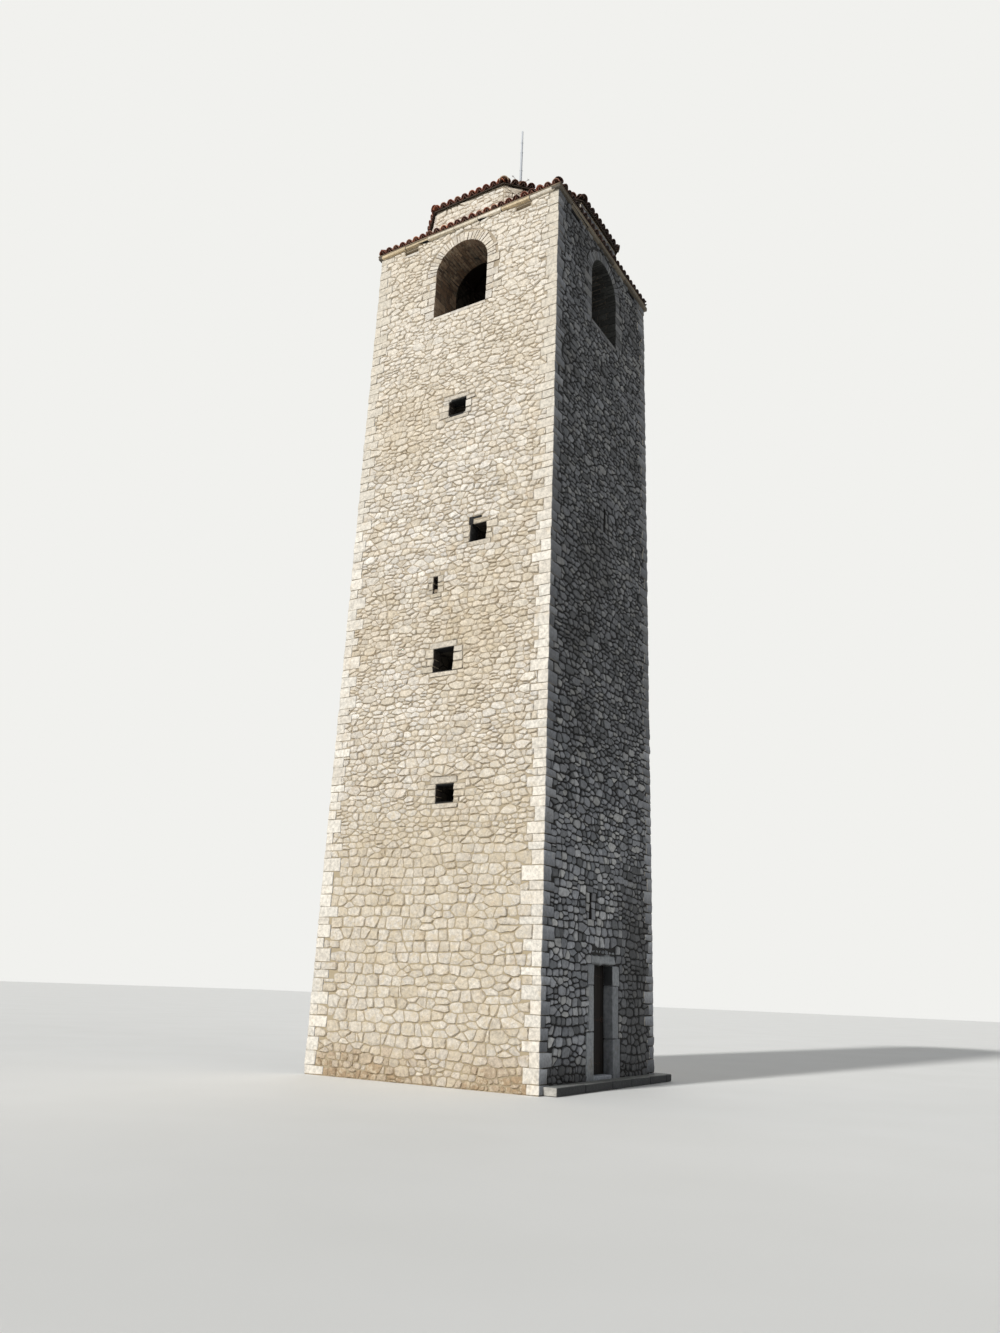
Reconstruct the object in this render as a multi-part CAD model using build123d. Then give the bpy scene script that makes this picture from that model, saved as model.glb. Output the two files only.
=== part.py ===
from build123d import *
from collections import namedtuple
import math
import os

os.makedirs("parts", exist_ok=True)

# A square clock tower of limestone rubble with an octagonal drum over its belfry.
# Millimetres, +Z up, origin on the ground at the middle of the tower.
# The front is -Y and has the door, the left is -X and has the four small windows.

# Tower walls
TOP_WIDTH = 4745  # outside, along X, under the cornice
TOP_DEPTH = 4890  # outside, along Y, under the cornice
WALL_TOP = 18650
BATTER = 75  # how far each face leans in between the ground and the cornice
BELFRY_WALL = 850
SETBACK = 50  # each floor rests on a ledge where the wall below is this much thicker

# Windows of the left face, from the lowest up. A middle is measured along the face
# from its centre line, to the right for someone who looks at it from outside.
WINDOW_MIDDLES = [309, 92, 790, 63]
WINDOW_WIDTHS = [432, 497, 379, 466]
WINDOW_SILLS = [5012, 7670, 10400, 13590]
WINDOW_HEIGHTS = [348, 497, 410, 360]
SIDE_SLIT_MIDDLE = -214
SIDE_SLIT_WIDTH = 130
SIDE_SLIT_SILL = 9395
SIDE_SLIT_HEIGHT = 390
LOW_SLIT_MIDDLE = -556
LOW_SLIT_WIDTH = 108
LOW_SLIT_SILL = 2975
LOW_SLIT_HEIGHT = 505
HIGH_SLIT_MIDDLE = 30
HIGH_SLIT_WIDTH = 104
HIGH_SLIT_SILL = 11255
HIGH_SLIT_HEIGHT = 595
WINDOW_SPLAY = 120  # a window or slit widens by this much each side towards the room
NARROW_DEPTH = 250  # and is straight for this far behind the face

# Belfry arches, semicircular, one in each face, with one sill level
ARCH_SILL_BELOW_TOP = 2293
FRONT_ARCH_MIDDLE = -27
FRONT_ARCH_WIDTH = 1325
FRONT_CROWN_BELOW_TOP = 335
SIDE_ARCH_MIDDLE = -51
SIDE_ARCH_WIDTH = 1413
SIDE_CROWN_BELOW_TOP = 394
ARCH_STONE_HEIGHT = 270  # the thin radial stones over each arch

# Doorway in the front
DOOR_MIDDLE = 22
DOOR_WIDTH = 825
DOOR_HEAD = 2170
THRESHOLD_TOP = 215
JAMB_DEPTH = 190
LEFT_JAMB = 265
RIGHT_JAMB = 304
LOW_JAMB_EXTRA = 42  # the lowest stone of each jamb is wider by this much
LEFT_JAMB_JOINT = 980
RIGHT_JAMB_JOINT = 840
LINTEL_LEFT = 522
LINTEL_RIGHT = 545
LINTEL_HEIGHT = 180
REBATE = 80  # the recess behind the jambs and lintel is larger than the doorway
BEAM_HEIGHT = 150
BEAM_END_LENGTH = 150

# Door of upright planks on three ledges, which opens inwards
DOOR_LAP = 40  # how far the leaf laps the jambs and lintel
DOOR_GAP = 5
PLANK = 45
LEDGE = 25
LEDGE_HEIGHT = 140
DOOR_LEDGE_HEIGHTS = [400, 1190, 1960]
STRAP_THICKNESS = 6
STRAP_HEIGHT = 50
STRAP_LENGTH = 760
KNUCKLE_RADIUS = 14
KNUCKLE_HEIGHT = 60
PIN_RADIUS = 8
PIN_CLEARANCE = 0.3
PIN_HEAD = 12
RING_RADIUS = 45
RING_BAR = 6
RING_HEIGHT = 1230
RING_INSET = 130

# Floors
GROUND_FLOOR_TOP = 150
FLOOR_BELOW_SILL = 1100
BOARD = 40
JOIST_WIDTH = 120
JOIST_DEPTH = 160
JOIST_COUNT = 3  # between the hatch and the far wall
HATCH = 750

# Step along the front
STEP_TOP = 150
STEP_REACH = 280
STEP_LEFT = 2330
STEP_RIGHT = 2740

# Cornice and the narrow tiled roof round the foot of the drum
CORNICE = 70
CORNICE_REACH = 70
SLOT_WIDTH = 380
SLOT_HEIGHT = 100
SLOT_DEPTH = 200
SLOT_OFFSET = 1550
SLOT_BELOW_CORNICE = 55
TILE_THICKNESS = 90
TILE_REACH = 60  # how far the lowest tiles stand out beyond the cornice
PITCH = 22
LOWER_ROOF_INSET = 1000

# Octagonal drum, its squinches and its roof
DRUM_INSET = 92.5  # its flat faces stand this far in from the narrower faces of the tower
DRUM_WALL = 500
DRUM_WALL_HEIGHT = 780
DRUM_EAVE_REACH = 70
ROOF_BOARD = 25
ROOF_CAP = 120
SQUINCH_CROWN = 170  # stone over the crown of each squinch arch
SQUINCH_FOOT = 95
RAFTER_WIDTH = 80
RAFTER_DEPTH = 140
RAFTER_SEAT_LENGTH = 250
KING_POST = 110
KING_POST_LENGTH = 800

# Mast of stepped steel tubes, with two crossed arms
MAST_JOINT_HEIGHTS = [22350, 22950, 23280, 23650]
MAST_RADIUS = 33
MAST_STEP = 3
MAST_WALL = 4
MAST_PLUG = 30
MAST_CLEARANCE = 0.4
ARM_HEIGHT = 21880
ARM_TURN = 135  # the arms point to the back left corner and the front right one
ARM_RISE = 45
ARM_REACH = 210
ARM_RADIUS = 5
CROSS_LENGTH = 70
COLLAR_WALL = 8
COLLAR_HEIGHT = 36

HALF_WIDTH = TOP_WIDTH / 2
HALF_DEPTH = TOP_DEPTH / 2
LEAN = math.degrees(math.atan(BATTER / WALL_TOP))
SLOPE = math.tan(math.radians(PITCH))
ARCH_SILL = WALL_TOP - ARCH_SILL_BELOW_TOP
FLOOR_TOPS = [sill - FLOOR_BELOW_SILL for sill in WINDOW_SILLS + [ARCH_SILL]]
LEDGES = [top - BOARD - JOIST_DEPTH for top in FLOOR_TOPS]
CORNICE_TOP = WALL_TOP + CORNICE

# Octagons are sized from the middle to a flat.
DRUM_OUT = min(HALF_WIDTH, HALF_DEPTH) - DRUM_INSET
DRUM_IN = DRUM_OUT - DRUM_WALL
DRUM_EAVE = DRUM_OUT + DRUM_EAVE_REACH
DRUM_EAVE_LEVEL = CORNICE_TOP + DRUM_WALL_HEIGHT

# A squinch is a triangle in plan, as deep as the drum overhangs the corner of the belfry.
SQUINCH_LEG = HALF_WIDTH + HALF_DEPTH - 2 * BELFRY_WALL - DRUM_IN * math.sqrt(2)
SQUINCH_ARCH = SQUINCH_LEG / math.sqrt(2) - SQUINCH_FOOT
SQUINCH_LOW = WALL_TOP - SQUINCH_ARCH - SQUINCH_CROWN

Hole = namedtuple("Hole", "middle width sill height")
WINDOWS = [
    Hole(*sizes)
    for sizes in zip(WINDOW_MIDDLES, WINDOW_WIDTHS, WINDOW_SILLS, WINDOW_HEIGHTS)
]
SIDE_SLIT = Hole(SIDE_SLIT_MIDDLE, SIDE_SLIT_WIDTH, SIDE_SLIT_SILL, SIDE_SLIT_HEIGHT)
LOW_SLIT = Hole(LOW_SLIT_MIDDLE, LOW_SLIT_WIDTH, LOW_SLIT_SILL, LOW_SLIT_HEIGHT)
HIGH_SLIT = Hole(HIGH_SLIT_MIDDLE, HIGH_SLIT_WIDTH, HIGH_SLIT_SILL, HIGH_SLIT_HEIGHT)

Arch = namedtuple("Arch", "middle width crown")
FRONT_ARCH = Arch(FRONT_ARCH_MIDDLE, FRONT_ARCH_WIDTH, WALL_TOP - FRONT_CROWN_BELOW_TOP)
SIDE_ARCH = Arch(SIDE_ARCH_MIDDLE, SIDE_ARCH_WIDTH, WALL_TOP - SIDE_CROWN_BELOW_TOP)

# A side is built as if it were the front, then turned about Z to its place.
Side = namedtuple("Side", "turn half_across half_away")
FRONT = Side(0, HALF_WIDTH, HALF_DEPTH)
RIGHT = Side(90, HALF_DEPTH, HALF_WIDTH)
BACK = Side(180, HALF_WIDTH, HALF_DEPTH)
LEFT = Side(270, HALF_DEPTH, HALF_WIDTH)
SIDES = [FRONT, RIGHT, BACK, LEFT]


def block(x0, x1, y0, y1, z0, z1):
    return Pos((x0 + x1) / 2, (y0 + y1) / 2, (z0 + z1) / 2) * Box(x1 - x0, y1 - y0, z1 - z0)


def upright_prism(points, low, high):
    return Pos(0, 0, low) * extrude(make_face(Polyline(*points, close=True)), amount=high - low)


def octagon(flat, low, high):
    return Pos(0, 0, low) * extrude(
        RegularPolygon(flat, 8, major_radius=False, rotation=22.5), amount=high - low
    )


def save(name, shape):
    shape.label = name
    export_step(shape, f"parts/{name}.step")


def turned(side, shape):
    return Rot(0, 0, side.turn) * shape


# Walls


def wall_thickness(storey):
    """Storey 0 is the ground floor and the last one is the belfry."""
    return BELFRY_WALL + SETBACK * (len(LEDGES) - storey)


def tower_mass(side):
    """The whole outside of the tower as one leaning block."""
    across = 2 * (side.half_across + BATTER)
    away = 2 * (side.half_away + BATTER)
    return extrude(Rectangle(across, away), amount=WALL_TOP, taper=LEAN)


def room(side, storey, low, high):
    thickness = wall_thickness(storey)
    across = side.half_across - thickness
    away = side.half_away - thickness
    return block(-across, across, -away, away, low, high)


def rooms(side):
    levels = [0] + LEDGES + [WALL_TOP]
    hollow = room(side, 0, levels[0], levels[1])
    for storey in range(1, len(levels) - 1):
        hollow += room(side, storey, levels[storey], levels[storey + 1])
    return hollow


def quarter(side, low, high):
    """The mitred quarter of the plan that belongs to one side."""
    outside = 2 * BATTER
    inside = wall_thickness(0) + SETBACK
    outer = side.half_across + outside
    inner = side.half_across - inside
    outer_y = -side.half_away - outside
    inner_y = -side.half_away + inside
    points = [(-outer, outer_y), (outer, outer_y), (inner, inner_y), (-inner, inner_y)]
    return upright_prism(points, low, high)


def plain_wall(side, low, high):
    return (tower_mass(side) & quarter(side, low, high)) - rooms(side)


def splayed_hole(side, hole):
    """A window or slit: straight behind the face, then widening into the room."""
    face = -side.half_away - 2 * BATTER
    narrow_end = -side.half_away - BATTER + NARROW_DEPTH
    room_end = -side.half_away + wall_thickness(0) + SETBACK
    half = hole.width / 2
    wide = half + WINDOW_SPLAY
    points = [
        (hole.middle - half, face),
        (hole.middle + half, face),
        (hole.middle + half, narrow_end),
        (hole.middle + wide, room_end),
        (hole.middle - wide, room_end),
        (hole.middle - half, narrow_end),
    ]
    return upright_prism(points, hole.sill, hole.sill + hole.height)


def wall_with_holes(side, low, high, holes):
    wall = plain_wall(side, low, high)
    for hole in holes:
        wall -= splayed_hole(side, hole)
    return wall


def through_wall(side, face):
    """A face drawn on the XZ plane, carried through the full wall of one side."""
    start = side.half_away + 2 * BATTER
    depth = 2 * BATTER + wall_thickness(0)
    return Pos(0, -start, 0) * extrude(face, amount=depth, dir=(0, 1, 0))


def arch_opening(side, arch):
    radius = arch.width / 2
    spring = arch.crown - radius
    straight = Plane.XZ * Pos(arch.middle, (ARCH_SILL + spring) / 2) * Rectangle(
        arch.width, spring - ARCH_SILL
    )
    round_head = Plane.XZ * Pos(arch.middle, spring) * Circle(radius)
    return through_wall(side, straight) + through_wall(side, round_head)


def arch_ring_prism(side, arch):
    radius = arch.width / 2
    spring = arch.crown - radius
    ring = Circle(radius + ARCH_STONE_HEIGHT) - Circle(radius)
    upper = ring & (Pos(0, radius + ARCH_STONE_HEIGHT) * Rectangle(4 * radius, 2 * (radius + ARCH_STONE_HEIGHT)))
    return through_wall(side, Plane.XZ * Pos(arch.middle, spring) * upper)


def eave_slots(side):
    """Two shallow sockets just under the cornice."""
    top = WALL_TOP - SLOT_BELOW_CORNICE
    back = -side.half_away + SLOT_DEPTH
    slots = []
    for middle in (-SLOT_OFFSET, SLOT_OFFSET):
        low_x = middle - SLOT_WIDTH / 2
        slots.append(
            block(low_x, low_x + SLOT_WIDTH, -side.half_away - BATTER, back, top - SLOT_HEIGHT, top)
        )
    return slots


def belfry_wall(side, arch):
    wall = plain_wall(side, LEDGES[-1], WALL_TOP)
    wall -= arch_ring_prism(side, arch)
    wall -= arch_opening(side, arch)
    for slot in eave_slots(side):
        wall -= slot
    return wall


def arch_ring(side, arch):
    return plain_wall(side, LEDGES[-1], WALL_TOP) & arch_ring_prism(side, arch)


# Doorway, built in place on the front

DOOR_LEFT = DOOR_MIDDLE - DOOR_WIDTH / 2
DOOR_RIGHT = DOOR_MIDDLE + DOOR_WIDTH / 2
RECESS_LEFT = DOOR_LEFT - REBATE
RECESS_RIGHT = DOOR_RIGHT + REBATE
RECESS_TOP = DOOR_HEAD + REBATE
FACE_Y = -HALF_DEPTH - BATTER
JAMB_BACK = FACE_Y + JAMB_DEPTH
ROOM_Y = -HALF_DEPTH + wall_thickness(0)
FRONT_MASS = tower_mass(FRONT)


def jamb(inner, outer, low_outer, joint):
    """One jamb from the ground to the lintel, with its wider lowest stone."""
    left, right = sorted((inner, outer))
    shape = block(left, right, FACE_Y, JAMB_BACK, joint, DOOR_HEAD)
    left, right = sorted((inner, low_outer))
    shape += block(left, right, FACE_Y, JAMB_BACK, 0, joint)
    return shape & FRONT_MASS


def left_jamb():
    outer = DOOR_LEFT - LEFT_JAMB
    return jamb(DOOR_LEFT, outer, outer - LOW_JAMB_EXTRA, LEFT_JAMB_JOINT)


def right_jamb():
    outer = DOOR_RIGHT + RIGHT_JAMB
    return jamb(DOOR_RIGHT, outer, outer + LOW_JAMB_EXTRA, RIGHT_JAMB_JOINT)


def lintel():
    low_x = DOOR_MIDDLE - LINTEL_LEFT
    high_x = DOOR_MIDDLE + LINTEL_RIGHT
    shape = block(low_x, high_x, FACE_Y, JAMB_BACK, DOOR_HEAD, DOOR_HEAD + LINTEL_HEIGHT)
    return shape & FRONT_MASS


def inner_lintel():
    """The timber over the recess behind the lintel."""
    low_x = RECESS_LEFT - BEAM_END_LENGTH
    high_x = RECESS_RIGHT + BEAM_END_LENGTH
    return block(low_x, high_x, JAMB_BACK, ROOM_Y, RECESS_TOP, RECESS_TOP + BEAM_HEIGHT)


def threshold():
    return block(DOOR_LEFT, DOOR_RIGHT, FACE_Y, JAMB_BACK, 0, THRESHOLD_TOP) & FRONT_MASS


def beside_door(low_x, high_x):
    far_y = -HALF_DEPTH + wall_thickness(0) + SETBACK
    part_of_wall = block(low_x, high_x, FACE_Y - BATTER, far_y, 0, RECESS_TOP)
    wall = plain_wall(FRONT, 0, RECESS_TOP) & part_of_wall
    return wall - left_jamb() - right_jamb() - lintel()


def over_door():
    wall = wall_with_holes(FRONT, RECESS_TOP, LEDGES[1], [LOW_SLIT])
    return wall - lintel() - inner_lintel()


def front_step():
    shape = block(-STEP_LEFT, STEP_RIGHT, FACE_Y - STEP_REACH, FACE_Y + STEP_REACH, 0, STEP_TOP)
    clear_behind = block(-STEP_LEFT, HALF_WIDTH, FACE_Y + BATTER, 0, 0, STEP_TOP)
    return shape - FRONT_MASS - clear_behind


# Door leaf and hinges

LEAF_LEFT = DOOR_LEFT - DOOR_LAP
LEAF_RIGHT = DOOR_RIGHT + DOOR_LAP
LEAF_BOTTOM = GROUND_FLOOR_TOP + 3 * DOOR_GAP
LEAF_TOP = DOOR_HEAD + DOOR_LAP
LEAF_FACE = JAMB_BACK + DOOR_GAP
PLANK_BACK = LEAF_FACE + PLANK
LEDGE_BACK = PLANK_BACK + LEDGE
STRAP_BACK = LEDGE_BACK + STRAP_THICKNESS
HINGE_X = RECESS_LEFT + DOOR_GAP + KNUCKLE_RADIUS
HINGE_Y = STRAP_BACK
HINGE_HEIGHTS = [DOOR_LEDGE_HEIGHTS[0], DOOR_LEDGE_HEIGHTS[-1]]


def door_leaf():
    """Planks with three ledges across their inner side."""
    leaf = block(LEAF_LEFT, LEAF_RIGHT, LEAF_FACE, PLANK_BACK, LEAF_BOTTOM, LEAF_TOP)
    half = LEDGE_HEIGHT / 2
    margin = DOOR_LAP / 2
    for level in DOOR_LEDGE_HEIGHTS:
        leaf += block(LEAF_LEFT + margin, LEAF_RIGHT - margin, PLANK_BACK, LEDGE_BACK,
                      level - half, level + half)
    return leaf


def door_strap(level):
    """A forged strap that ends in an eye round the hinge pin."""
    half = STRAP_HEIGHT / 2
    bar = block(HINGE_X, HINGE_X + STRAP_LENGTH, LEDGE_BACK, STRAP_BACK, level - half, level + half)
    eye = Pos(HINGE_X, HINGE_Y, level) * Cylinder(KNUCKLE_RADIUS, KNUCKLE_HEIGHT)
    bore = Pos(HINGE_X, HINGE_Y, level) * Cylinder(PIN_RADIUS + PIN_CLEARANCE, 2 * KNUCKLE_HEIGHT)
    return bar + eye - bore


def hinge_pin(level):
    """A hook in the wall whose upright pin carries one strap."""
    shoulder = level - KNUCKLE_HEIGHT / 2 - PIN_CLEARANCE
    top = level + KNUCKLE_HEIGHT / 2 + PIN_HEAD
    pin = Pos(HINGE_X, HINGE_Y, (shoulder + top) / 2) * Cylinder(PIN_RADIUS, top - shoulder)
    arm = block(RECESS_LEFT, HINGE_X + KNUCKLE_RADIUS - PIN_CLEARANCE, HINGE_Y - PIN_RADIUS,
                HINGE_Y + PIN_RADIUS, shoulder - 2 * PIN_RADIUS, shoulder)
    return pin + arm


def door_ring():
    """A pull ring hanging from a staple on the outside of the leaf."""
    x = LEAF_RIGHT - RING_INSET
    staple_reach = 3 * RING_BAR
    staple = Pos(x, LEAF_FACE - staple_reach / 2, RING_HEIGHT) * Box(
        3 * RING_BAR, staple_reach, 3 * RING_BAR
    )
    ring = Pos(x, LEAF_FACE - 2 * RING_BAR, RING_HEIGHT - RING_RADIUS) * Rot(90, 0, 0) * Torus(
        RING_RADIUS, RING_BAR
    )
    return staple + ring


# Floors


def ground_floor():
    thickness = wall_thickness(0)
    half_x = HALF_WIDTH - thickness
    half_y = HALF_DEPTH - thickness
    floor = block(-half_x, half_x, -half_y, half_y, 0, GROUND_FLOOR_TOP)
    return floor + block(RECESS_LEFT, RECESS_RIGHT, JAMB_BACK, ROOM_Y, 0, GROUND_FLOOR_TOP)


def floor_half_sizes(index):
    thickness = wall_thickness(index + 1)
    return HALF_WIDTH - thickness, HALF_DEPTH - thickness


def hatch_end(index):
    """The hatch changes ends from floor to floor: 1 is the back, -1 the front."""
    return 1 if index % 2 == 0 else -1


def floor_boards(index):
    half_x, half_y = floor_half_sizes(index)
    top = FLOOR_TOPS[index]
    boards = block(-half_x, half_x, -half_y, half_y, top - BOARD, top)
    near = half_y - JOIST_WIDTH - HATCH
    hole = block(half_x - HATCH, half_x, near, near + HATCH, top - 2 * BOARD, top + BOARD)
    if hatch_end(index) < 0:
        hole = Rot(0, 0, 180) * hole
    return boards - hole


def joist_places(index):
    """Joists against both walls, one beside the hatch, and the rest evenly between."""
    half_y = floor_half_sizes(index)[1]
    first = half_y - JOIST_WIDTH / 2
    beside_hatch = first - JOIST_WIDTH - HATCH
    pitch = (beside_hatch + first) / JOIST_COUNT
    places = [first] + [beside_hatch - step * pitch for step in range(JOIST_COUNT + 1)]
    return [hatch_end(index) * place for place in places]


def floor_joists(index):
    half_x = floor_half_sizes(index)[0]
    top = FLOOR_TOPS[index] - BOARD
    half = JOIST_WIDTH / 2
    return [
        block(-half_x, half_x, y - half, y + half, top - JOIST_DEPTH, top)
        for y in joist_places(index)
    ]


# Cornice, squinches and lower roof


def cornice():
    outline = Rectangle(TOP_WIDTH + 2 * CORNICE_REACH, TOP_DEPTH + 2 * CORNICE_REACH)
    slab = Pos(0, 0, WALL_TOP) * extrude(outline, amount=CORNICE)
    return slab - octagon(DRUM_IN, WALL_TOP - CORNICE, CORNICE_TOP + CORNICE)


def squinch(sign_x, sign_y):
    """An arched stone across one corner of the belfry, under a slanting drum wall."""
    corner_x = HALF_WIDTH - BELFRY_WALL
    corner_y = HALF_DEPTH - BELFRY_WALL
    far_x = corner_x - SQUINCH_LEG
    far_y = corner_y - SQUINCH_LEG
    points = [(corner_x, corner_y), (far_x, corner_y), (corner_x, far_y)]
    wedge = upright_prism([(sign_x * x, sign_y * y) for x, y in points], SQUINCH_LOW, WALL_TOP)
    across = math.degrees(math.atan2(sign_y, sign_x))
    corner = Pos(sign_x * corner_x, sign_y * corner_y, SQUINCH_LOW)
    return wedge - corner * Rot(0, 0, across) * Rot(0, 90, 0) * Cylinder(SQUINCH_ARCH, 4 * SQUINCH_LEG)


def squinches():
    return Compound([squinch(sx, sy) for sx in (-1, 1) for sy in (-1, 1)])


def lower_roof():
    """A hipped skirt of tiles on their bed, from the cornice up to the drum."""
    reach = CORNICE_REACH + TILE_REACH
    outline = Rectangle(TOP_WIDTH + 2 * reach, TOP_DEPTH + 2 * reach)
    rim = Pos(0, 0, CORNICE_TOP) * extrude(outline, amount=TILE_THICKNESS)
    slopes = Pos(0, 0, CORNICE_TOP + TILE_THICKNESS) * extrude(
        outline, amount=LOWER_ROOF_INSET * SLOPE, taper=90 - PITCH
    )
    return rim + slopes - octagon(DRUM_OUT, CORNICE_TOP - CORNICE, DRUM_EAVE_LEVEL)


# Drum and its roof


def roof_slopes(level):
    """The eight slopes as a solid that stands on the given eave level."""
    height = (DRUM_EAVE - ROOF_CAP) * SLOPE
    outline = RegularPolygon(DRUM_EAVE, 8, major_radius=False, rotation=22.5)
    return Pos(0, 0, level) * extrude(outline, amount=height, taper=90 - PITCH)


def roof_layer(level, thickness):
    upper = octagon(DRUM_EAVE, level, level + thickness) + roof_slopes(level + thickness)
    return upper - roof_slopes(level)


CAP_UNDERSIDE = DRUM_EAVE_LEVEL + (DRUM_EAVE - ROOF_CAP) * SLOPE


def mast_hole():
    low = CAP_UNDERSIDE - TILE_THICKNESS
    high = CAP_UNDERSIDE + 2 * TILE_THICKNESS
    hole = Cylinder(MAST_RADIUS + MAST_CLEARANCE, high - low)
    return Pos(0, 0, (low + high) / 2) * hole


def roof_boards():
    return roof_layer(DRUM_EAVE_LEVEL, ROOF_BOARD) - mast_hole()


def roof_tiles():
    return roof_layer(DRUM_EAVE_LEVEL + ROOF_BOARD, TILE_THICKNESS) - mast_hole()


def king_post():
    """An eight-sided post that the hip rafters meet, with the mast on its head."""
    outline = RegularPolygon(KING_POST, 8, major_radius=False)
    post = Pos(0, 0, CAP_UNDERSIDE - KING_POST_LENGTH) * extrude(outline, amount=KING_POST_LENGTH)
    return post & roof_slopes(DRUM_EAVE_LEVEL)


def hip_rafter(angle):
    """One rafter under a hip, from its seat in the drum wall to the king post."""
    corner_share = math.cos(math.radians(22.5))
    hip_slope = SLOPE * corner_share
    start = KING_POST
    end = (DRUM_IN + RAFTER_SEAT_LENGTH) / corner_share
    eave = DRUM_EAVE / corner_share
    top_start = DRUM_EAVE_LEVEL + (eave - start) * hip_slope
    top_end = DRUM_EAVE_LEVEL + (eave - end) * hip_slope
    side_view = Plane.XZ * make_face(Polyline(
        (start, top_start), (end, top_end), (end, top_end - RAFTER_DEPTH),
        (start, top_start - RAFTER_DEPTH), close=True,
    ))
    beam = extrude(side_view, amount=RAFTER_WIDTH / 2, both=True)
    return (Rot(0, 0, angle) * beam) & roof_slopes(DRUM_EAVE_LEVEL)


def hip_rafters():
    return [hip_rafter(22.5 + 45 * step) for step in range(8)]


def drum_ring():
    ring = octagon(DRUM_OUT, CORNICE_TOP, CAP_UNDERSIDE) - octagon(
        DRUM_IN, CORNICE_TOP - CORNICE, CAP_UNDERSIDE + CORNICE
    )
    below_roof = octagon(DRUM_EAVE, CORNICE_TOP - CORNICE, DRUM_EAVE_LEVEL)
    ring = ring & (below_roof + roof_slopes(DRUM_EAVE_LEVEL))
    for rafter in hip_rafters():
        ring -= rafter
    return ring


def drum_walls(first_angle):
    """Every second wall of the drum, starting at the given angle."""
    ring = drum_ring()
    far = 2 * DRUM_OUT
    half = far * math.tan(math.radians(22.5))
    sector = upright_prism([(0, 0), (far, -half), (far, half)], CORNICE_TOP, CAP_UNDERSIDE)
    walls = []
    for step in range(4):
        walls += (ring & (Rot(0, 0, first_angle + 90 * step) * sector)).solids()
    return Compound(walls)


# Mast


def mast_section(index):
    """A tube with a solid plug at its head, on which the next tube stands."""
    low = CAP_UNDERSIDE if index == 0 else MAST_JOINT_HEIGHTS[index - 1]
    high = MAST_JOINT_HEIGHTS[index]
    radius = MAST_RADIUS - MAST_STEP * index
    tube = Pos(0, 0, (low + high) / 2) * Cylinder(radius, high - low)
    bore_top = high - MAST_PLUG
    bore = Pos(0, 0, (low + bore_top) / 2) * Cylinder(radius - MAST_WALL, bore_top - low)
    return tube - bore


def mast_upper():
    """The three upper tubes, swaged into one another."""
    return mast_section(1) + mast_section(2) + mast_section(3)


def mast_arm(turn):
    """A thin rod that rises outwards from the collar and ends in a cross."""
    length = ARM_REACH / math.cos(math.radians(ARM_RISE))
    inner = MAST_RADIUS + COLLAR_WALL / 2
    rod = Pos(0, 0, (inner + length) / 2) * Cylinder(ARM_RADIUS, length - inner)
    bars = [Pos(0, 0, length) * Rot(0, tilt, 0) * Cylinder(ARM_RADIUS, CROSS_LENGTH)
            for tilt in (0, 90)]
    shape = rod + bars[0] + bars[1]
    return Pos(0, 0, ARM_HEIGHT) * Rot(0, 0, turn) * Rot(0, 90 - ARM_RISE, 0) * shape


def mast_arms():
    outer = MAST_RADIUS + COLLAR_WALL
    collar = Pos(0, 0, ARM_HEIGHT + COLLAR_HEIGHT) * Cylinder(outer, 3 * COLLAR_HEIGHT)
    bore = Pos(0, 0, ARM_HEIGHT) * Cylinder(MAST_RADIUS + MAST_CLEARANCE, 12 * COLLAR_HEIGHT)
    return collar + mast_arm(ARM_TURN) + mast_arm(ARM_TURN + 180) - bore


# Every piece


def save_walls():
    save("front_wall_left_of_door", beside_door(-2 * TOP_WIDTH, RECESS_LEFT))
    save("front_wall_right_of_door", beside_door(RECESS_RIGHT, 2 * TOP_WIDTH))
    save("front_wall_over_door", over_door())
    save("front_wall_middle", wall_with_holes(FRONT, LEDGES[1], LEDGES[4], [HIGH_SLIT]))
    save("back_wall_lower", turned(BACK, wall_with_holes(BACK, 0, LEDGES[1], [LOW_SLIT])))
    back_middle = wall_with_holes(BACK, LEDGES[1], LEDGES[4], [HIGH_SLIT])
    save("back_wall_middle", turned(BACK, back_middle))
    for name, side in (("left", LEFT), ("right", RIGHT)):
        lower = wall_with_holes(side, 0, LEDGES[1], WINDOWS[:1])
        middle = wall_with_holes(side, LEDGES[1], LEDGES[3], WINDOWS[1:3] + [SIDE_SLIT])
        upper = wall_with_holes(side, LEDGES[3], LEDGES[4], WINDOWS[3:])
        save(f"{name}_wall_lower", turned(side, lower))
        save(f"{name}_wall_middle", turned(side, middle))
        save(f"{name}_wall_upper", turned(side, upper))


def save_belfry():
    places = [("front", FRONT, FRONT_ARCH), ("right", RIGHT, SIDE_ARCH),
              ("back", BACK, FRONT_ARCH), ("left", LEFT, SIDE_ARCH)]
    for name, side, arch in places:
        save(f"{name}_belfry_wall", turned(side, belfry_wall(side, arch)))
        save(f"{name}_belfry_arch", turned(side, arch_ring(side, arch)))
    save("corner_squinches", squinches())


def save_doorway():
    save("front_step", front_step())
    save("door_threshold", threshold())
    save("door_jamb_left", left_jamb())
    save("door_jamb_right", right_jamb())
    save("door_lintel", lintel())
    save("door_inner_lintel", inner_lintel())
    save("door_leaf", door_leaf())
    save("door_straps", Compound([door_strap(level) for level in HINGE_HEIGHTS]))
    save("door_hinge_pins", Compound([hinge_pin(level) for level in HINGE_HEIGHTS]))
    save("door_ring", door_ring())


def save_floors():
    save("ground_floor", ground_floor())
    for index in range(len(LEDGES) - 1):
        save(f"floor_{index + 1}_boards", floor_boards(index))
    save("belfry_floor_boards", floor_boards(len(LEDGES) - 1))
    joists = []
    for index in range(len(LEDGES)):
        joists += floor_joists(index)
    save("floor_joists", Compound(joists))


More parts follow.
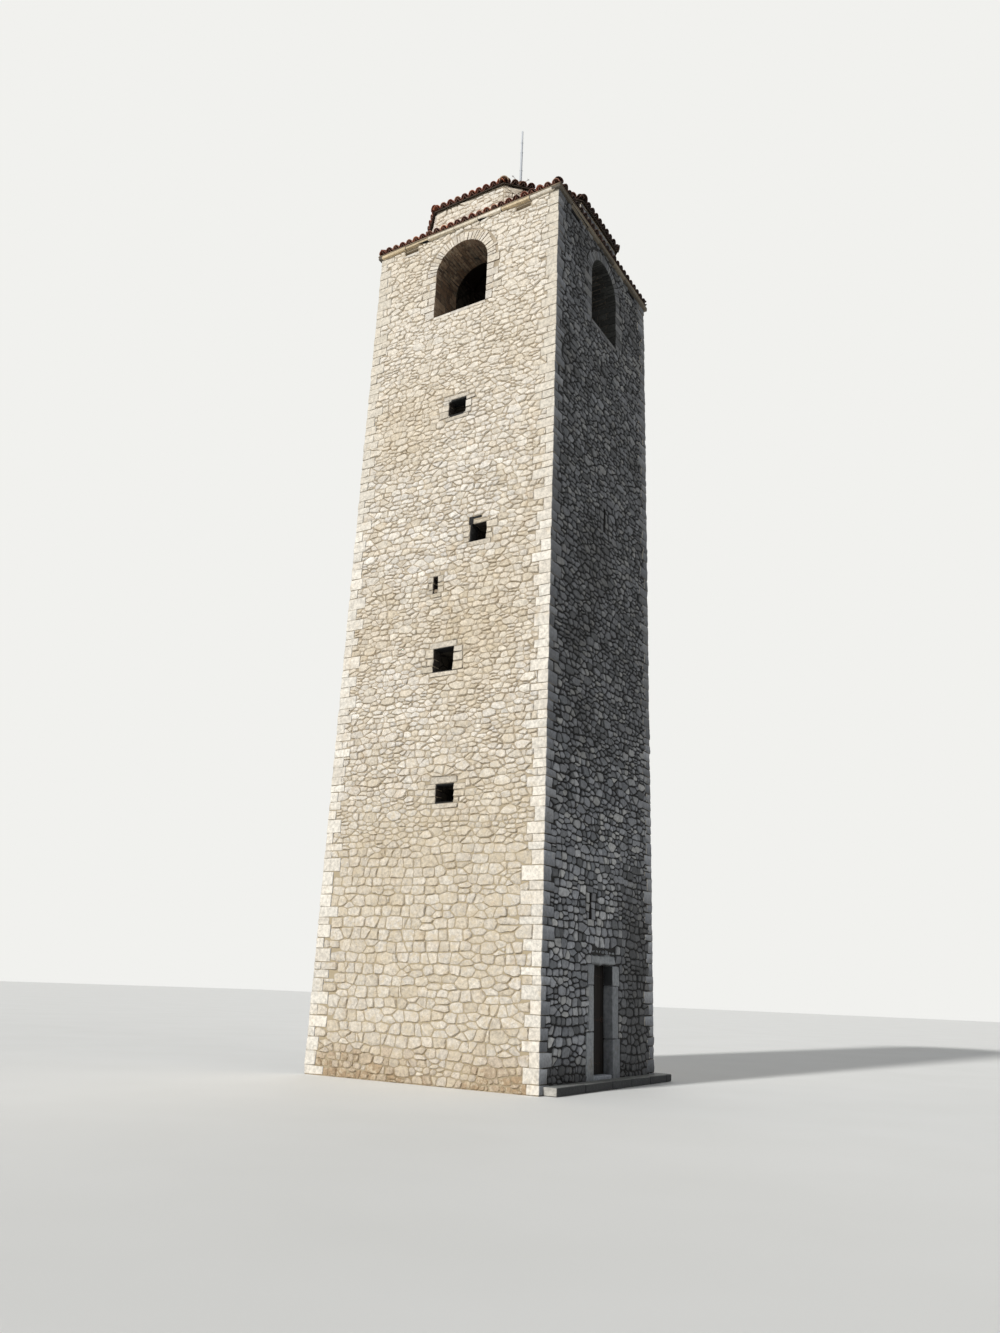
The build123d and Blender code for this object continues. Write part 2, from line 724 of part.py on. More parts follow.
def save_roof():
    save("cornice", cornice())
    save("lower_roof", lower_roof())
    save("drum_walls_straight", drum_walls(0))
    save("drum_walls_slanting", drum_walls(45))
    save("drum_roof_boards", roof_boards())
    save("drum_roof_tiles", roof_tiles())
    post = king_post()
    save("king_post", post)
    rafters = [rafter - post for rafter in hip_rafters()]
    save("hip_rafters", Compound(rafters))


def save_mast():
    save("mast_lower", mast_section(0))
    save("mast_upper", mast_upper())
    save("mast_arms", mast_arms())


save_walls()
save_belfry()
save_doorway()
save_floors()
save_roof()
save_mast()
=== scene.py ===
from bisect import bisect_left
from collections import namedtuple
import math
import random

import bmesh
import bpy
import numpy as np
from mathutils import Matrix, Vector, noise


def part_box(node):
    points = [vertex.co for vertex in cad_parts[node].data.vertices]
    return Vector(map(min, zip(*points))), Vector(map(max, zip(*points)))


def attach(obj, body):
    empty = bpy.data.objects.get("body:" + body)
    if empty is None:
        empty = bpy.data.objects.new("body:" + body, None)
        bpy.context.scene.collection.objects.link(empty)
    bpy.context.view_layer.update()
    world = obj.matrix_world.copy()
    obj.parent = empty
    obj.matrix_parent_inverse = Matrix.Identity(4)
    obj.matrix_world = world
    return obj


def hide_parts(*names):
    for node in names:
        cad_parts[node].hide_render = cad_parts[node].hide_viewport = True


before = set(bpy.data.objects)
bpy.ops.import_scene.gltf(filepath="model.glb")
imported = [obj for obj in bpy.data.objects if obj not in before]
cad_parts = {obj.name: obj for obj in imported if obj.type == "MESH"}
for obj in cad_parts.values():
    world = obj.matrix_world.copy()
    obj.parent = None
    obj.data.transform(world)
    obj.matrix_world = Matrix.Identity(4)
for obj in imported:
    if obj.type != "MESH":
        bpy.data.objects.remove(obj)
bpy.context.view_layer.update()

# Viewpoint, light and floor.
# The tower is seen from eye height, off the corner between its left and its front face. One soft key
# light falls on the left face, and the sky fills the rest. All lengths in this file are metres.
EYE = Vector((-18.158, -11.067, 1.605))
YAW, PITCH, ROLL = (math.radians(a) for a in (58.54, 17.97, 2.27))
FOCAL_PIXELS, PICTURE_HEIGHT = 1004, 1333

ahead = Vector((math.sin(YAW) * math.cos(PITCH), math.cos(YAW) * math.cos(PITCH), math.sin(PITCH)))
level_right = Vector((math.cos(YAW), -math.sin(YAW), 0))
level_up = level_right.cross(ahead)
right = math.cos(ROLL) * level_right + math.sin(ROLL) * level_up
up = -math.sin(ROLL) * level_right + math.cos(ROLL) * level_up
camera = bpy.data.objects.new("camera", bpy.data.cameras.new("camera"))
camera.data.sensor_width = 36
camera.data.lens = 36 * FOCAL_PIXELS / PICTURE_HEIGHT
camera.data.clip_end = 400
camera.matrix_world = Matrix.Translation(EYE) @ Matrix((right, up, -ahead)).transposed().to_4x4()
bpy.context.scene.collection.objects.link(camera)
bpy.context.scene.camera = camera
bpy.context.scene.view_settings.view_transform = "Standard"


def lamp(name, towards_light, strength, spread):
    made = bpy.data.objects.new(name, bpy.data.lights.new(name, "SUN"))
    made.data.energy = strength
    made.data.angle = math.radians(spread)
    made.rotation_euler = Vector(towards_light).to_track_quat("Z", "Y").to_euler()
    bpy.context.scene.collection.objects.link(made)


lamp("key_light", (-0.80, 0.12, 0.50), 3.05, 4)
lamp("front_fill", (-0.35, -1.0, 0.75), 0.16, 40)
lamp("back_fill", (1.0, 0.45, 0.55), 0.6, 40)


def linear(colour, alpha=1.0):
    """An sRGB hex colour as the linear values that Blender works in."""
    parts = [int(colour[i:i + 2], 16) / 255 for i in (1, 3, 5)]
    return tuple(c / 12.92 if c <= 0.04045 else ((c + 0.055) / 1.055) ** 2.4 for c in parts) + (alpha,)


def fill(node, sockets):
    """Gives a node's sockets their values, or links them where the value is another node or its output."""
    for place, value in sockets.items():
        if isinstance(value, bpy.types.Node):
            value = next(output for output in value.outputs if output.enabled)
        if isinstance(value, bpy.types.NodeSocket):
            node.id_data.links.new(value, node.inputs[place])
        else:
            node.inputs[place].default_value = value


def add(tree, kind, sockets={}, **settings):
    """Adds one node with its settings, values and links."""
    made = tree.nodes.new(kind if "Node" in kind else "ShaderNode" + kind)
    for name, value in settings.items():
        setattr(made, name, value)
    fill(made, sockets)
    return made


world = bpy.data.worlds.new("studio")
bpy.context.scene.world = world
world.use_nodes = True
tree = world.node_tree
tree.nodes.clear()
rays = add(tree, "LightPath")
seen = rays.outputs["Is Camera Ray"]
for ray in ("Is Glossy Ray", "Is Transmission Ray"):
    seen = add(tree, "Math", {0: seen, 1: rays.outputs[ray]}, operation="MAXIMUM")
sky = add(tree, "Background", {"Color": linear("#E4EAF2"), "Strength": 0.25})
backdrop = add(tree, "Background", {"Color": linear("#F1F1EE"), "Strength": 1.0})
either = add(tree, "MixShader", {0: seen, 1: sky, 2: backdrop})
add(tree, "OutputWorld", {"Surface": either})


def new_material(name, sockets={}):
    """An empty procedural material: itself, its nodes, its shader and the object's own coordinates."""
    made = bpy.data.materials.new(name)
    made.use_nodes = True
    tree = made.node_tree
    tree.nodes.clear()
    shader = add(tree, "BsdfPrincipled", sockets)
    add(tree, "OutputMaterial", {"Surface": shader})
    return made, tree, shader, add(tree, "TexCoord").outputs["Object"]


# Floor: smooth pale studio paint.
studio_paint, tree, shader, where = new_material("studio_paint", {"Roughness": 0.9})
cloud = add(tree, "TexNoise", {"Vector": where, "Scale": 0.4})
tone = add(tree, "Mix", {0: cloud, 6: linear("#DEDDD8"), 7: linear("#E6E5E1")}, data_type="RGBA")
fill(shader, {"Base Color": tone})
floor_mesh = bpy.data.meshes.new("studio_floor")
FLOOR_REACH = 180
floor_mesh.from_pydata([(x, y, 0) for x, y in ((-1, -1), (1, -1), (1, 1), (-1, 1))], [], [(0, 1, 2, 3)])
floor_mesh.transform(Matrix.Scale(FLOOR_REACH, 4))
floor_mesh.materials.append(studio_paint)
studio_floor = bpy.data.objects.new("studio_floor", floor_mesh)
bpy.context.scene.collection.objects.link(studio_floor)

# Core of the walls.
# Rubble bedded in lime mortar, carried up storey by storey with a slight lean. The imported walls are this
# core: outside they show only in the joints between the facing stones, and inside as roughly laid rubble.
TOP_WIDTH, TOP_DEPTH, WALL_TOP, BATTER = 4.745, 4.890, 18.650, 0.075
FACING_SHARE = 0.93
INNER_STONE_LENGTH, INNER_STONE_HEIGHT = 0.30, 0.17
MORTAR_GRAIN = 0.012

Side = namedtuple("Side", "name turns half_across half_away sunny")
FRONT = Side("front", 0, TOP_WIDTH / 2, TOP_DEPTH / 2, False)
RIGHT = Side("right", 1, TOP_DEPTH / 2, TOP_WIDTH / 2, True)
BACK = Side("back", 2, TOP_WIDTH / 2, TOP_DEPTH / 2, False)
LEFT = Side("left", 3, TOP_DEPTH / 2, TOP_WIDTH / 2, True)
SIDES = (FRONT, RIGHT, BACK, LEFT)


def lime_mortar(name, repointed, joint, joint_deep, stain):
    """Lime mortar with river sand: matt and gritty, pale where it was repointed low down, deeper in tone
    higher up from the weather and stained near the ground. Further in it turns into the laid stones of the
    inner faces, which are darkened with painted shade."""
    made, tree, shader, where = new_material(name, {"Roughness": 0.95})
    patches = add(tree, "TexNoise", {"Vector": where, "Scale": 1 / 0.35, "Detail": 6.0})
    sand = add(tree, "TexNoise", {"Vector": where, "Scale": 1 / MORTAR_GRAIN, "Detail": 3.0})
    spread = add(tree, "MapRange", {0: patches, 1: 0.35, 2: 0.65})
    bed = add(tree, "Mix", {0: spread, 6: linear(joint), 7: linear(joint_deep)}, data_type="RGBA")
    split = add(tree, "SeparateXYZ", {0: where})
    fresh = add(tree, "MapRange", {0: split.outputs["Z"], 1: 6.5, 2: 3.5, 3: 0.0, 4: 1.0})
    bed = add(tree, "Mix", {0: fresh, 6: bed, 7: linear(repointed)}, data_type="RGBA")
    low = add(tree, "MapRange", {0: split.outputs["Z"], 1: 0.7, 2: 0.1, 3: 0.0, 4: 0.8})
    low = add(tree, "Math", {0: low, 1: spread}, operation="MULTIPLY")
    bed = add(tree, "Mix", {0: low, 6: bed, 7: linear(stain)}, data_type="RGBA")
    laid = add(tree, "Mapping", {0: where, 3: (
        1 / INNER_STONE_LENGTH, 1 / INNER_STONE_LENGTH, 1 / INNER_STONE_HEIGHT)})
    stones = add(tree, "TexVoronoi", {"Vector": laid, "Scale": 1.0, "Randomness": 0.75})
    gaps = add(tree, "TexVoronoi", {"Vector": laid, "Scale": 1.0, "Randomness": 0.75},
               feature="DISTANCE_TO_EDGE")
    shade = add(tree, "SeparateColor", {0: stones.outputs["Color"]})
    # The inner faces' stones and their gaps are painted dark, as the shade inside the wall.
    inner = add(tree, "Mix", {0: shade, 6: linear("#4E483F"), 7: linear("#625A4E")}, data_type="RGBA")
    gap = add(tree, "MapRange", {0: gaps, 1: 0.04, 2: 0.10})
    inner = add(tree, "Mix", {0: gap, 6: linear("#383229"), 7: inner}, data_type="RGBA")
    plan = add(tree, "VectorMath", {0: where, 1: (2 / TOP_WIDTH, 2 / TOP_DEPTH, 0)}, operation="MULTIPLY")
    plan = add(tree, "VectorMath", {0: plan}, operation="ABSOLUTE")
    plan = add(tree, "SeparateXYZ", {0: plan})
    reach = add(tree, "Math", {0: plan.outputs["X"], 1: plan.outputs["Y"]}, operation="MAXIMUM")
    inside = add(tree, "Math", {0: reach, 1: FACING_SHARE}, operation="LESS_THAN")
    tone = add(tree, "Mix", {0: inside, 6: bed, 7: inner}, data_type="RGBA")
    grit = add(tree, "Bump", {"Strength": 0.6, "Distance": 0.003, "Height": sand})
    raised = add(tree, "Math", {0: gap, 1: inside}, operation="MULTIPLY")
    relief = add(tree, "Bump", {"Strength": 0.8, "Distance": 0.012, "Height": raised, "Normal": grit})
    fill(shader, {"Base Color": tone, "Normal": relief})
    return made


# Bleached sandy mortar on the sunny sides, and on the shaded ones open joints painted near black with
# shade.
sunny_mortar = lime_mortar("sunny_lime_mortar", "#AC9D82", "#BAAC96", "#9C8E78", "#7D6849")
shaded_mortar = lime_mortar("shaded_lime_mortar", "#171615", "#141313", "#0D0D0D", "#191614")
MORTARS = {side.name: sunny_mortar if side.sunny else shaded_mortar for side in SIDES}


def finish_node(node, material):
    """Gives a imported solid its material."""
    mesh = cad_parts[node].data
    mesh.materials.clear()
    mesh.materials.append(material)


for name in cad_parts:
    face = name.split("_")[0]
    if face in MORTARS and ("_wall" in name or "_belfry" in name):
        finish_node(name, MORTARS[face])
for name in ("drum_walls_straight", "drum_walls_slanting"):
    finish_node(name, sunny_mortar)


def lean(z):
    """How far the wall at a height stands out past its top."""
    return BATTER * (1 - z / WALL_TOP)


def on_side(side):
    """Takes points given along, up and out of one side of the tower to their places."""
    def place(points):
        across, z, out = points.T
        x, y = across, -(side.half_away + lean(z) + out)
        for _ in range(side.turns):
            x, y = -y, x
        return np.column_stack((x, y, z))
    return place


def half_across(side, z):
    return side.half_across + lean(z)


LUMP = 0.11  # Across one hollow of the point chisel.


def hew(mesh, depth):
    """Divides the large faces of blocks and gives them the shallow lumps that a point chisel leaves."""
    shape = bmesh.new()
    shape.from_mesh(mesh)
    bmesh.ops.subdivide_edges(shape, edges=[edge for edge in shape.edges if edge.calc_length() > LUMP],
                              cuts=2, use_grid_fill=True)
    shape.normal_update()
    shifts = [vert.normal * depth * noise.noise(vert.co / LUMP) for vert in shape.verts]
    for vert, shift in zip(shape.verts, shifts):
        vert.co += shift
    shape.to_mesh(mesh)
    shape.free()


class Pile:
    """Stones, slabs or boards that become one mesh. Points are along, up and out of what they lie on."""

    def __init__(self, place, mirrored=False):
        self.place = place
        self.mirrored = mirrored
        self.points, self.faces, self.tints = [], [], []

    def add(self, points, faces, tint):
        first = len(self.points)
        self.points.extend(points)
        self.faces.extend([first + i for i in face] for face in faces)
        self.tints.extend(tint if len(tint) == len(points) else [tint] * len(points))

    def build(self, name, material, slot, body="tower", replaces=(), sharp=38, lumps=0):
        places = self.place(np.array(self.points, float))
        faces = [face[::-1] for face in self.faces] if self.mirrored else self.faces
        mesh = bpy.data.meshes.new(name)
        mesh.from_pydata(places.tolist(), [], faces)
        tint = mesh.attributes.new("tint", "FLOAT_COLOR", "POINT")
        tint.data.foreach_set("color", np.array(self.tints, np.float32).ravel())
        mesh.materials.append(material)
        if lumps:
            hew(mesh, lumps)
        mesh.shade_smooth()
        mesh.set_sharp_from_angle(angle=math.radians(sharp))
        piece = bpy.data.objects.new(name, mesh)
        bpy.context.scene.collection.objects.link(piece)
        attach(piece, body)
        if replaces:
            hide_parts(*replaces)
        return piece


def chamfered_block_faces():
    """Faces of a block with every edge chamfered. Point 3c + a is corner c, on the face across axis a."""
    faces = []
    for a in range(3):
        b, c = (a + 1) % 3, (a + 2) % 3
        ends = [3 * (p << b | q << c) for p, q in ((0, 0), (1, 0), (1, 1), (0, 1))]
        faces.append([end + a for end in ends])
        faces.append([end + 3 * (1 << a) + a for end in ends])
        faces.extend([end + b, end + 3 * (1 << a) + b, end + 3 * (1 << a) + c, end + c] for end in ends)
    faces.extend([3 * corner, 3 * corner + 1, 3 * corner + 2] for corner in range(8))
    signs = [Vector([1 if corner >> axis & 1 else -1 for axis in range(3)]) for corner in range(8)]
    points = [Vector([s * (1.0 if axis == a else 0.8) for axis, s in enumerate(signs[corner])])
              for corner in range(8) for a in range(3)]
    turned = []
    for face in faces:
        p, q, r = (points[i] for i in face[:3])
        middle = sum((points[i] for i in face), Vector())
        turned.append(face if (q - p).cross(r - p).dot(middle) > 0 else face[::-1])
    return turned


BLOCK_FACES = chamfered_block_faces()
chance = random.Random(1)
draw = chance.uniform


def lay_block(pile, low, high, tint, chamfer=0.012, rough=0.004, angular=1.0):
    """Lays one hewn block between two corners. angular is the radius where its first axis is an angle.
    The faces across each axis may have a tint of their own."""
    low, high = np.minimum(low, high), np.maximum(low, high)
    scale = (1 / angular, 1, 1)
    tints = tint if len(tint) == 3 else (tint, tint, tint)
    points = []
    for corner in range(8):
        nudge = [draw(-rough, rough) for _ in range(3)]
        for a in range(3):
            point = []
            for axis in range(3):
                inward = 0 if axis == a else chamfer
                shift = nudge[axis] + draw(-rough, rough) / 2
                end, inward = (high, -inward) if corner >> axis & 1 else (low, inward)
                point.append(end[axis] + (shift + inward) * scale[axis])
            points.append(point)
    pile.add(points, BLOCK_FACES, tints * 8)


def spans(start, end, shortest, longest):
    """Cuts a run into pieces of random length and gives the two ends of each."""
    count = max(1, round(2 * (end - start) / (shortest + longest)))
    lengths = [draw(shortest, longest) for _ in range(count)]
    cuts = [start]
    for length in lengths:
        cuts.append(cuts[-1] + length * (end - start) / sum(lengths))
    return list(zip(cuts, cuts[1:]))


def shade_of(palette, spread=0.05):
    """One of the stone's colours, a little lighter or darker than the next stone's."""
    colour = linear(chance.choice(palette))
    light = 1 + draw(-spread, spread) * 2
    return tuple(min(1, part * light) for part in colour[:3]) + (1.0,)


def limestone(name, pitted, grain, stain, roughness=0.85, pointing=None):
    """Local limestone. Each stone carries its own tint, clouded, pitted and here and there stained. Where
    it was pointed again low down, the mortar laps over the stones' edges."""
    made, tree, shader, where = new_material(name, {"Roughness": roughness})
    own = add(tree, "Attribute", attribute_name="tint")
    clouds = add(tree, "TexNoise", {"Vector": where, "Scale": 1 / 0.07, "Detail": 6.0, "Roughness": 0.6})
    fine = add(tree, "TexNoise", {"Vector": where, "Scale": 1 / grain, "Detail": 4.0})
    light = add(tree, "MapRange", {0: clouds, 1: 0.36, 2: 0.64, 3: 0.76, 4: 1.12})
    speck = add(tree, "MapRange", {0: fine, 1: 0.3, 2: 0.7, 3: 0.90, 4: 1.06})
    both = add(tree, "Math", {0: light, 1: speck}, operation="MULTIPLY")
    tone = add(tree, "VectorMath", {0: own, 3: both}, operation="SCALE")
    marks = add(tree, "TexNoise", {"Vector": where, "Scale": 1 / 0.3, "Detail": 8.0, "Roughness": 0.65})
    marked = add(tree, "MapRange", {0: marks, 1: 0.56, 2: 0.74, 3: 0.0, 4: 0.55})
    stained = add(tree, "VectorMath", {0: tone, 1: linear(stain)[:3]}, operation="MULTIPLY")
    tone = add(tree, "Mix", {0: marked, 6: tone, 7: stained}, data_type="RGBA")
    if pointing:
        lapped = add(tree, "TexNoise", {
            "Vector": where, "Scale": 1 / 0.12, "Detail": 5.0, "Roughness": 0.7})
        lapped = add(tree, "MapRange", {0: lapped, 1: 0.50, 2: 0.60, 3: 0.0, 4: 0.8})
        split = add(tree, "SeparateXYZ", {0: where})
        low = add(tree, "MapRange", {0: split.outputs["Z"], 1: 7.5, 2: 4.5, 3: 0.3, 4: 1.0})
        lapped = add(tree, "Math", {0: lapped, 1: low}, operation="MULTIPLY")
        tone = add(tree, "Mix", {0: lapped, 6: tone, 7: linear(pointing)}, data_type="RGBA")
    lumps = add(tree, "Bump", {"Strength": 0.9, "Distance": pitted, "Height": clouds})
    pits = add(tree, "Bump", {"Strength": 0.5, "Distance": pitted / 4, "Height": fine, "Normal": lumps})
    fill(shader, {"Base Color": tone, "Normal": pits})
    return made


# Stones left as they broke, and stones squared with a point chisel, which are smoother and paler.
sunny_rubble = limestone("sunny_rubble_limestone", 0.040, 0.018, "#D6C0A0", pointing="#CDBEA4")
hewn_limestone = limestone("sunny_hewn_limestone", 0.050, 0.018, "#C9B08C")
# The shaded sides use a copy of the limestone whose stone tints are grey-blue and dark with painted shade.
shaded_rubble = limestone("shaded_rubble_limestone", 0.034, 0.018, "#A3A09A")
dressed_limestone = limestone("chiselled_limestone", 0.018, 0.012, "#DCCBB0", 0.8)
SUNNY_TINTS = ("#E9E1D3", "#E2D9CB", "#E5DCCE", "#EAE3D7", "#DED4C3", "#E3D9C9", "#DACEBA", "#E0D9CE")
# Tints of the shaded sides: the same stone made grey-blue and dark with painted shade.
SHADED_TINTS = ("#A8AAAF", "#929499", "#B3B4B6", "#808388", "#BCBCBB", "#9C9EA3", "#888A8E", "#696B6E")
DRESSED_TINTS = ("#E3DBCD", "#E0D7C8", "#E4DDD0")
SHADED_DRESSED_TINTS = ("#A9ACB2", "#989BA1", "#B6B8BC", "#8A8D93")
# By whether the side is sunny.
RUBBLE = {True: sunny_rubble, False: shaded_rubble}
TINTS = {True: SUNNY_TINTS, False: SHADED_TINTS}

# Rectangles (left, right, bottom, top) and circles (across, height, radius) that the rubble leaves free.
kept_clear = {side: [] for side in SIDES}
circles = {side: [] for side in SIDES}


def keep_clear(side, end, other_end, bottom, top):
    kept_clear[side].append((min(end, other_end), max(end, other_end), bottom, top))


# Corner stones.
# Squared limestone blocks laid in turn along one face and along the other, so that they tie the two
# walls together. They are paler and smoother than the rubble and stand a little proud of it.
CORNER_STONE_HEIGHTS = (0.14, 0.28)
CORNER_STONE_LONG, CORNER_STONE_SHORT = (0.26, 0.46), (0.15, 0.28)
CORNER_PROUD = 0.015
BED_JOINT, OPEN_BED = 0.001, 0.009
# The stones' top and bottom faces are painted darker than their fronts, as shade in the joints; near black
# on the shaded face.
BED_FACE_SHADE, SHADED_BED_TINT, STONE_FOOT_DARK = linear("#A39A8B"), linear("#1E1D1C"), linear("#2A2A2A")

# Painted shade on the shaded sides: a grey that darkens their stones, more so higher up.
SHADE_GREY, SHADE_STARTS, SHADE_THICK, MOST_SHADE = linear("#3F3F3F"), 4.3, 8.0, 0.75
WARM_STONE, WARM_STARTS, ALL_WARM, MOST_WARM = linear("#CFC4B0"), 10, 18, 0.6


def blend_colours(first, second, share):
    return tuple(a + (b - a) * share for a, b in zip(first, second))


def rise_of(z, start, end):
    """How far a height has come between two others, from 0 to 1. The first may be the higher one."""
    return min(1, max(0, (z - start) / (end - start)))


def darker_higher_in_shade(tint, z, share):
    """Darkens a stone on the shaded sides with painted shade, which deepens above the height of two people.
    """
    return blend_colours(tint, SHADE_GREY, min(MOST_SHADE, share * rise_of(z, SHADE_STARTS, SHADE_THICK)))


def sun_bleached(tint, z):
    """Dressed stone is palest low down, and as warm as the rubble round the belfry."""
    return blend_colours(tint, WARM_STONE, min(MOST_WARM, rise_of(z, WARM_STARTS, ALL_WARM)))


corner_courses = spans(0.012, WALL_TOP, *CORNER_STONE_HEIGHTS)
for turn, (side, next_side) in enumerate(zip(SIDES, SIDES[1:] + SIDES[:1])):
    # The corner at the right end of one side is the left end of the next.
    sign_x, sign_y = ((1, -1), (1, 1), (-1, 1), (-1, -1))[turn]

    def at_corner(points, sign_x=sign_x, sign_y=sign_y):
        into_x, into_y, z = points.T
        return np.column_stack((sign_x * (TOP_WIDTH / 2 + lean(z) - into_x),
                                sign_y * (TOP_DEPTH / 2 + lean(z) - into_y), z))

    corner_stones = Pile(at_corner, mirrored=sign_x * sign_y < 0)
    for course, (low, high) in enumerate(corner_courses):
        along_first = draw(*(CORNER_STONE_LONG if course % 2 else CORNER_STONE_SHORT))
        along_next = draw(*(CORNER_STONE_SHORT if course % 2 else CORNER_STONE_LONG))
        reach_x, reach_y = (along_next, along_first) if side.sunny else (along_first, along_next)
        lay_block(corner_stones, (-CORNER_PROUD, -draw(0.6, 1.4) * CORNER_PROUD, low + BED_JOINT),
                  (reach_x, reach_y, high - BED_JOINT),
                  (sun_bleached(shade_of(DRESSED_TINTS, 0.045), low),
                   darker_higher_in_shade(shade_of(SHADED_DRESSED_TINTS, 0.12), low, 0.46), BED_FACE_SHADE), 0.010, 0.004)
        block = -3 * 8  # Where the points of the block that was laid last begin.
        for corner, lift in ((1, OPEN_BED), (5, -OPEN_BED)):
            # On the shaded face the bed joints have opened, and their faces are painted near black with
            # shade.
            corner_stones.tints[block + 3 * corner + 2] = SHADED_BED_TINT
            for point in corner_stones.points[block + 3 * corner:][:3]:
                point[2] += lift
        for foot in (block + 1, block + 4):
            # Each stone on the shaded face is darker at its foot.
            corner_stones.tints[foot] = blend_colours(corner_stones.tints[foot], STONE_FOOT_DARK, 0.5)
        edge = half_across(side, low)
        keep_clear(side, edge - along_first, edge + 1, low, high)
        edge = half_across(next_side, low)
        keep_clear(next_side, -edge - 1, -edge + along_next, low, high)
    corner_stones.build(f"corner_stones_{side.name}_{next_side.name}", dressed_limestone, "rubble",
                        lumps=0.014)

# Stones round the windows and slits.
# Rough stones up each side of an opening, one across its top and one for its sill line the straight part
# of the reveal. The third window has a washed-out joint over its thin lintel, small stones are wedged in
# the corners of the top one, and a stone is lodged in the side slit.
# Middle, width, sill and height of each, and how far the bed joints over and under it are washed out.
WINDOWS = ((0.309, 0.432, 5.012, 0.348, 0.020), (0.092, 0.497, 7.670, 0.497, 0.012),
           (0.790, 0.379, 10.400, 0.410, 0), (0.063, 0.466, 13.590, 0.360, 0.040),
           (-0.214, 0.130, 9.395, 0.390, 0))
SLITS = ((-0.556, 0.108, 2.975, 0.505, 0), (0.030, 0.104, 11.255, 0.595, 0))
REVEAL_DEPTH = 0.24
REVEAL_INTO_HOLE = 0.006
FACE_PROUD = 0.016
WEATHERED_STONE = linear("#C4B69E")
# By whether the opening is wider than the first of these: widths of its jamb stones, and its bearing.
WIDE_WINDOW = 0.3
JAMB_WIDTHS, BEARING = {True: (0.12, 0.27), False: (0.10, 0.22)}, {True: 0.07, False: 0.05}
# The faces of these stones inside the hole are painted dark as its shade, darker still on the shaded sides.
IN_HOLE_SHADE_TINTS = {True: ("#342C26", "#2C2621", "#3D342D"), False: ("#15130F", "#1B1815", "#110F0D")}
RAGGED, LESS_RAGGED = 0.012, 0.010
THIN_LINTEL, THIN_JAMB, THIN_END = 0.085, 0.044, 0.045
WASHED_OUT = ((0.556, 0.612, 10.400, 10.812), (0.540, 0.645, 10.798, 10.975),
              (0.540, 0.850, 10.897, 10.980))
# A washed-out joint is filled with a near-black slab, as the painted shade in it.
WASHED_OUT_FRONT, WASHED_OUT_SHADE = 0.003, linear("#0C0A08")
IN_HOLE_BACK, LODGED_FRONT, WEDGED_FRONT = -0.16, -0.03, 0.012
LODGED = (-0.275, -0.190, 9.440, 9.520)
WEDGED = ((-0.176, -0.092, 13.925, 13.995), (-0.176, -0.122, 13.545, 13.602),
          (0.215, 0.302, 13.545, 13.608))


def weathered_and_shaded(side, z, spread=0.05):
    """Stones round openings are as warm as the rubble beside them in the sun, and in the shade as dark as
    it, with painted shade.
    """
    tint = shade_of(TINTS[side.sunny], spread)
    if side.sunny:
        return blend_colours(tint, WEATHERED_STONE, 0.55 - 0.35 * rise_of(z, 10, 15))
    return darker_higher_in_shade(blend_colours(tint, SHADE_GREY, 0.2), z, 0.6)


def lay_in_wall(side, place, back, front, tint, chamfer, rough, clear=False):
    """Lays a stone of an opening. Its place on the face is left, right, bottom and top."""
    end, other_end, low, high = place
    lay_block(opening_stones[side], (end, low, back), (other_end, high, front), tint, chamfer, rough)
    if clear:
        keep_clear(side, *place)


def line_hole(side, hole):
    middle, width, sill, height, washed = hole
    left_edge, right_edge, head = middle - width / 2, middle + width / 2, sill + height
    wide = width > WIDE_WINDOW
    thin = left_edge < WASHED_OUT[0][1] < right_edge and side.sunny
    foot, crown = sill - washed, head + washed
    laid = []
    for edge, outwards in ((left_edge - (THIN_JAMB if thin else 0), -1), (right_edge, 1)):
        for low, high in spans(foot, crown, 0.10, 0.20):
            far = edge + outwards * draw(*JAMB_WIDTHS[wide])
            near = edge - outwards * (REVEAL_INTO_HOLE + draw(0, RAGGED if wide else LESS_RAGGED))
            laid.append((near, far, low + 0.003, high - 0.003))
    bearing = BEARING[wide]
    laid.append((left_edge + THIN_END if thin else left_edge - bearing - draw(0, 0.08),
                 right_edge + bearing, crown - (0.004 if washed else 0.012),
                 head + (THIN_LINTEL if thin else washed + draw(0.10, 0.15))))
    laid.append((left_edge - bearing, right_edge + bearing + draw(0, 0.08),
                 foot - draw(0.09, 0.13), foot + (0.004 if washed else 0.010)))
    for low, high in ((head - 0.010, crown), (foot, sill + 0.010)) if washed else ():
        lay_in_wall(side, (left_edge, right_edge, low, high), -REVEAL_DEPTH, WASHED_OUT_FRONT,
                    WASHED_OUT_SHADE, 0.008, 0.004)
    for place in laid:
        in_hole_shade = shade_of(IN_HOLE_SHADE_TINTS[side.sunny])
        lay_in_wall(side, place, -REVEAL_DEPTH, FACE_PROUD,
                    (in_hole_shade, in_hole_shade, weathered_and_shaded(side, place[2], 0.08)), 0.017, 0.009, clear=True)
    keep_clear(side, left_edge, right_edge, foot, crown)


opening_stones = {side: Pile(on_side(side)) for side in SIDES}
for side in SIDES:
    for hole in WINDOWS if side.sunny else SLITS:
        line_hole(side, hole)
for side in (LEFT, RIGHT):
    for place in WASHED_OUT:
        lay_in_wall(side, place, -REVEAL_DEPTH, WASHED_OUT_FRONT, WASHED_OUT_SHADE, 0.006, 0.006, clear=True)
    lay_in_wall(side, LODGED, IN_HOLE_BACK, LODGED_FRONT, linear("#A08F79"), 0.014, 0.010)
    for place in WEDGED:
        in_hole_shade = shade_of(IN_HOLE_SHADE_TINTS[True])
        lay_in_wall(side, place, IN_HOLE_BACK, WEDGED_FRONT, (in_hole_shade, in_hole_shade, weathered_and_shaded(side, place[2])),
                    0.018, 0.012)

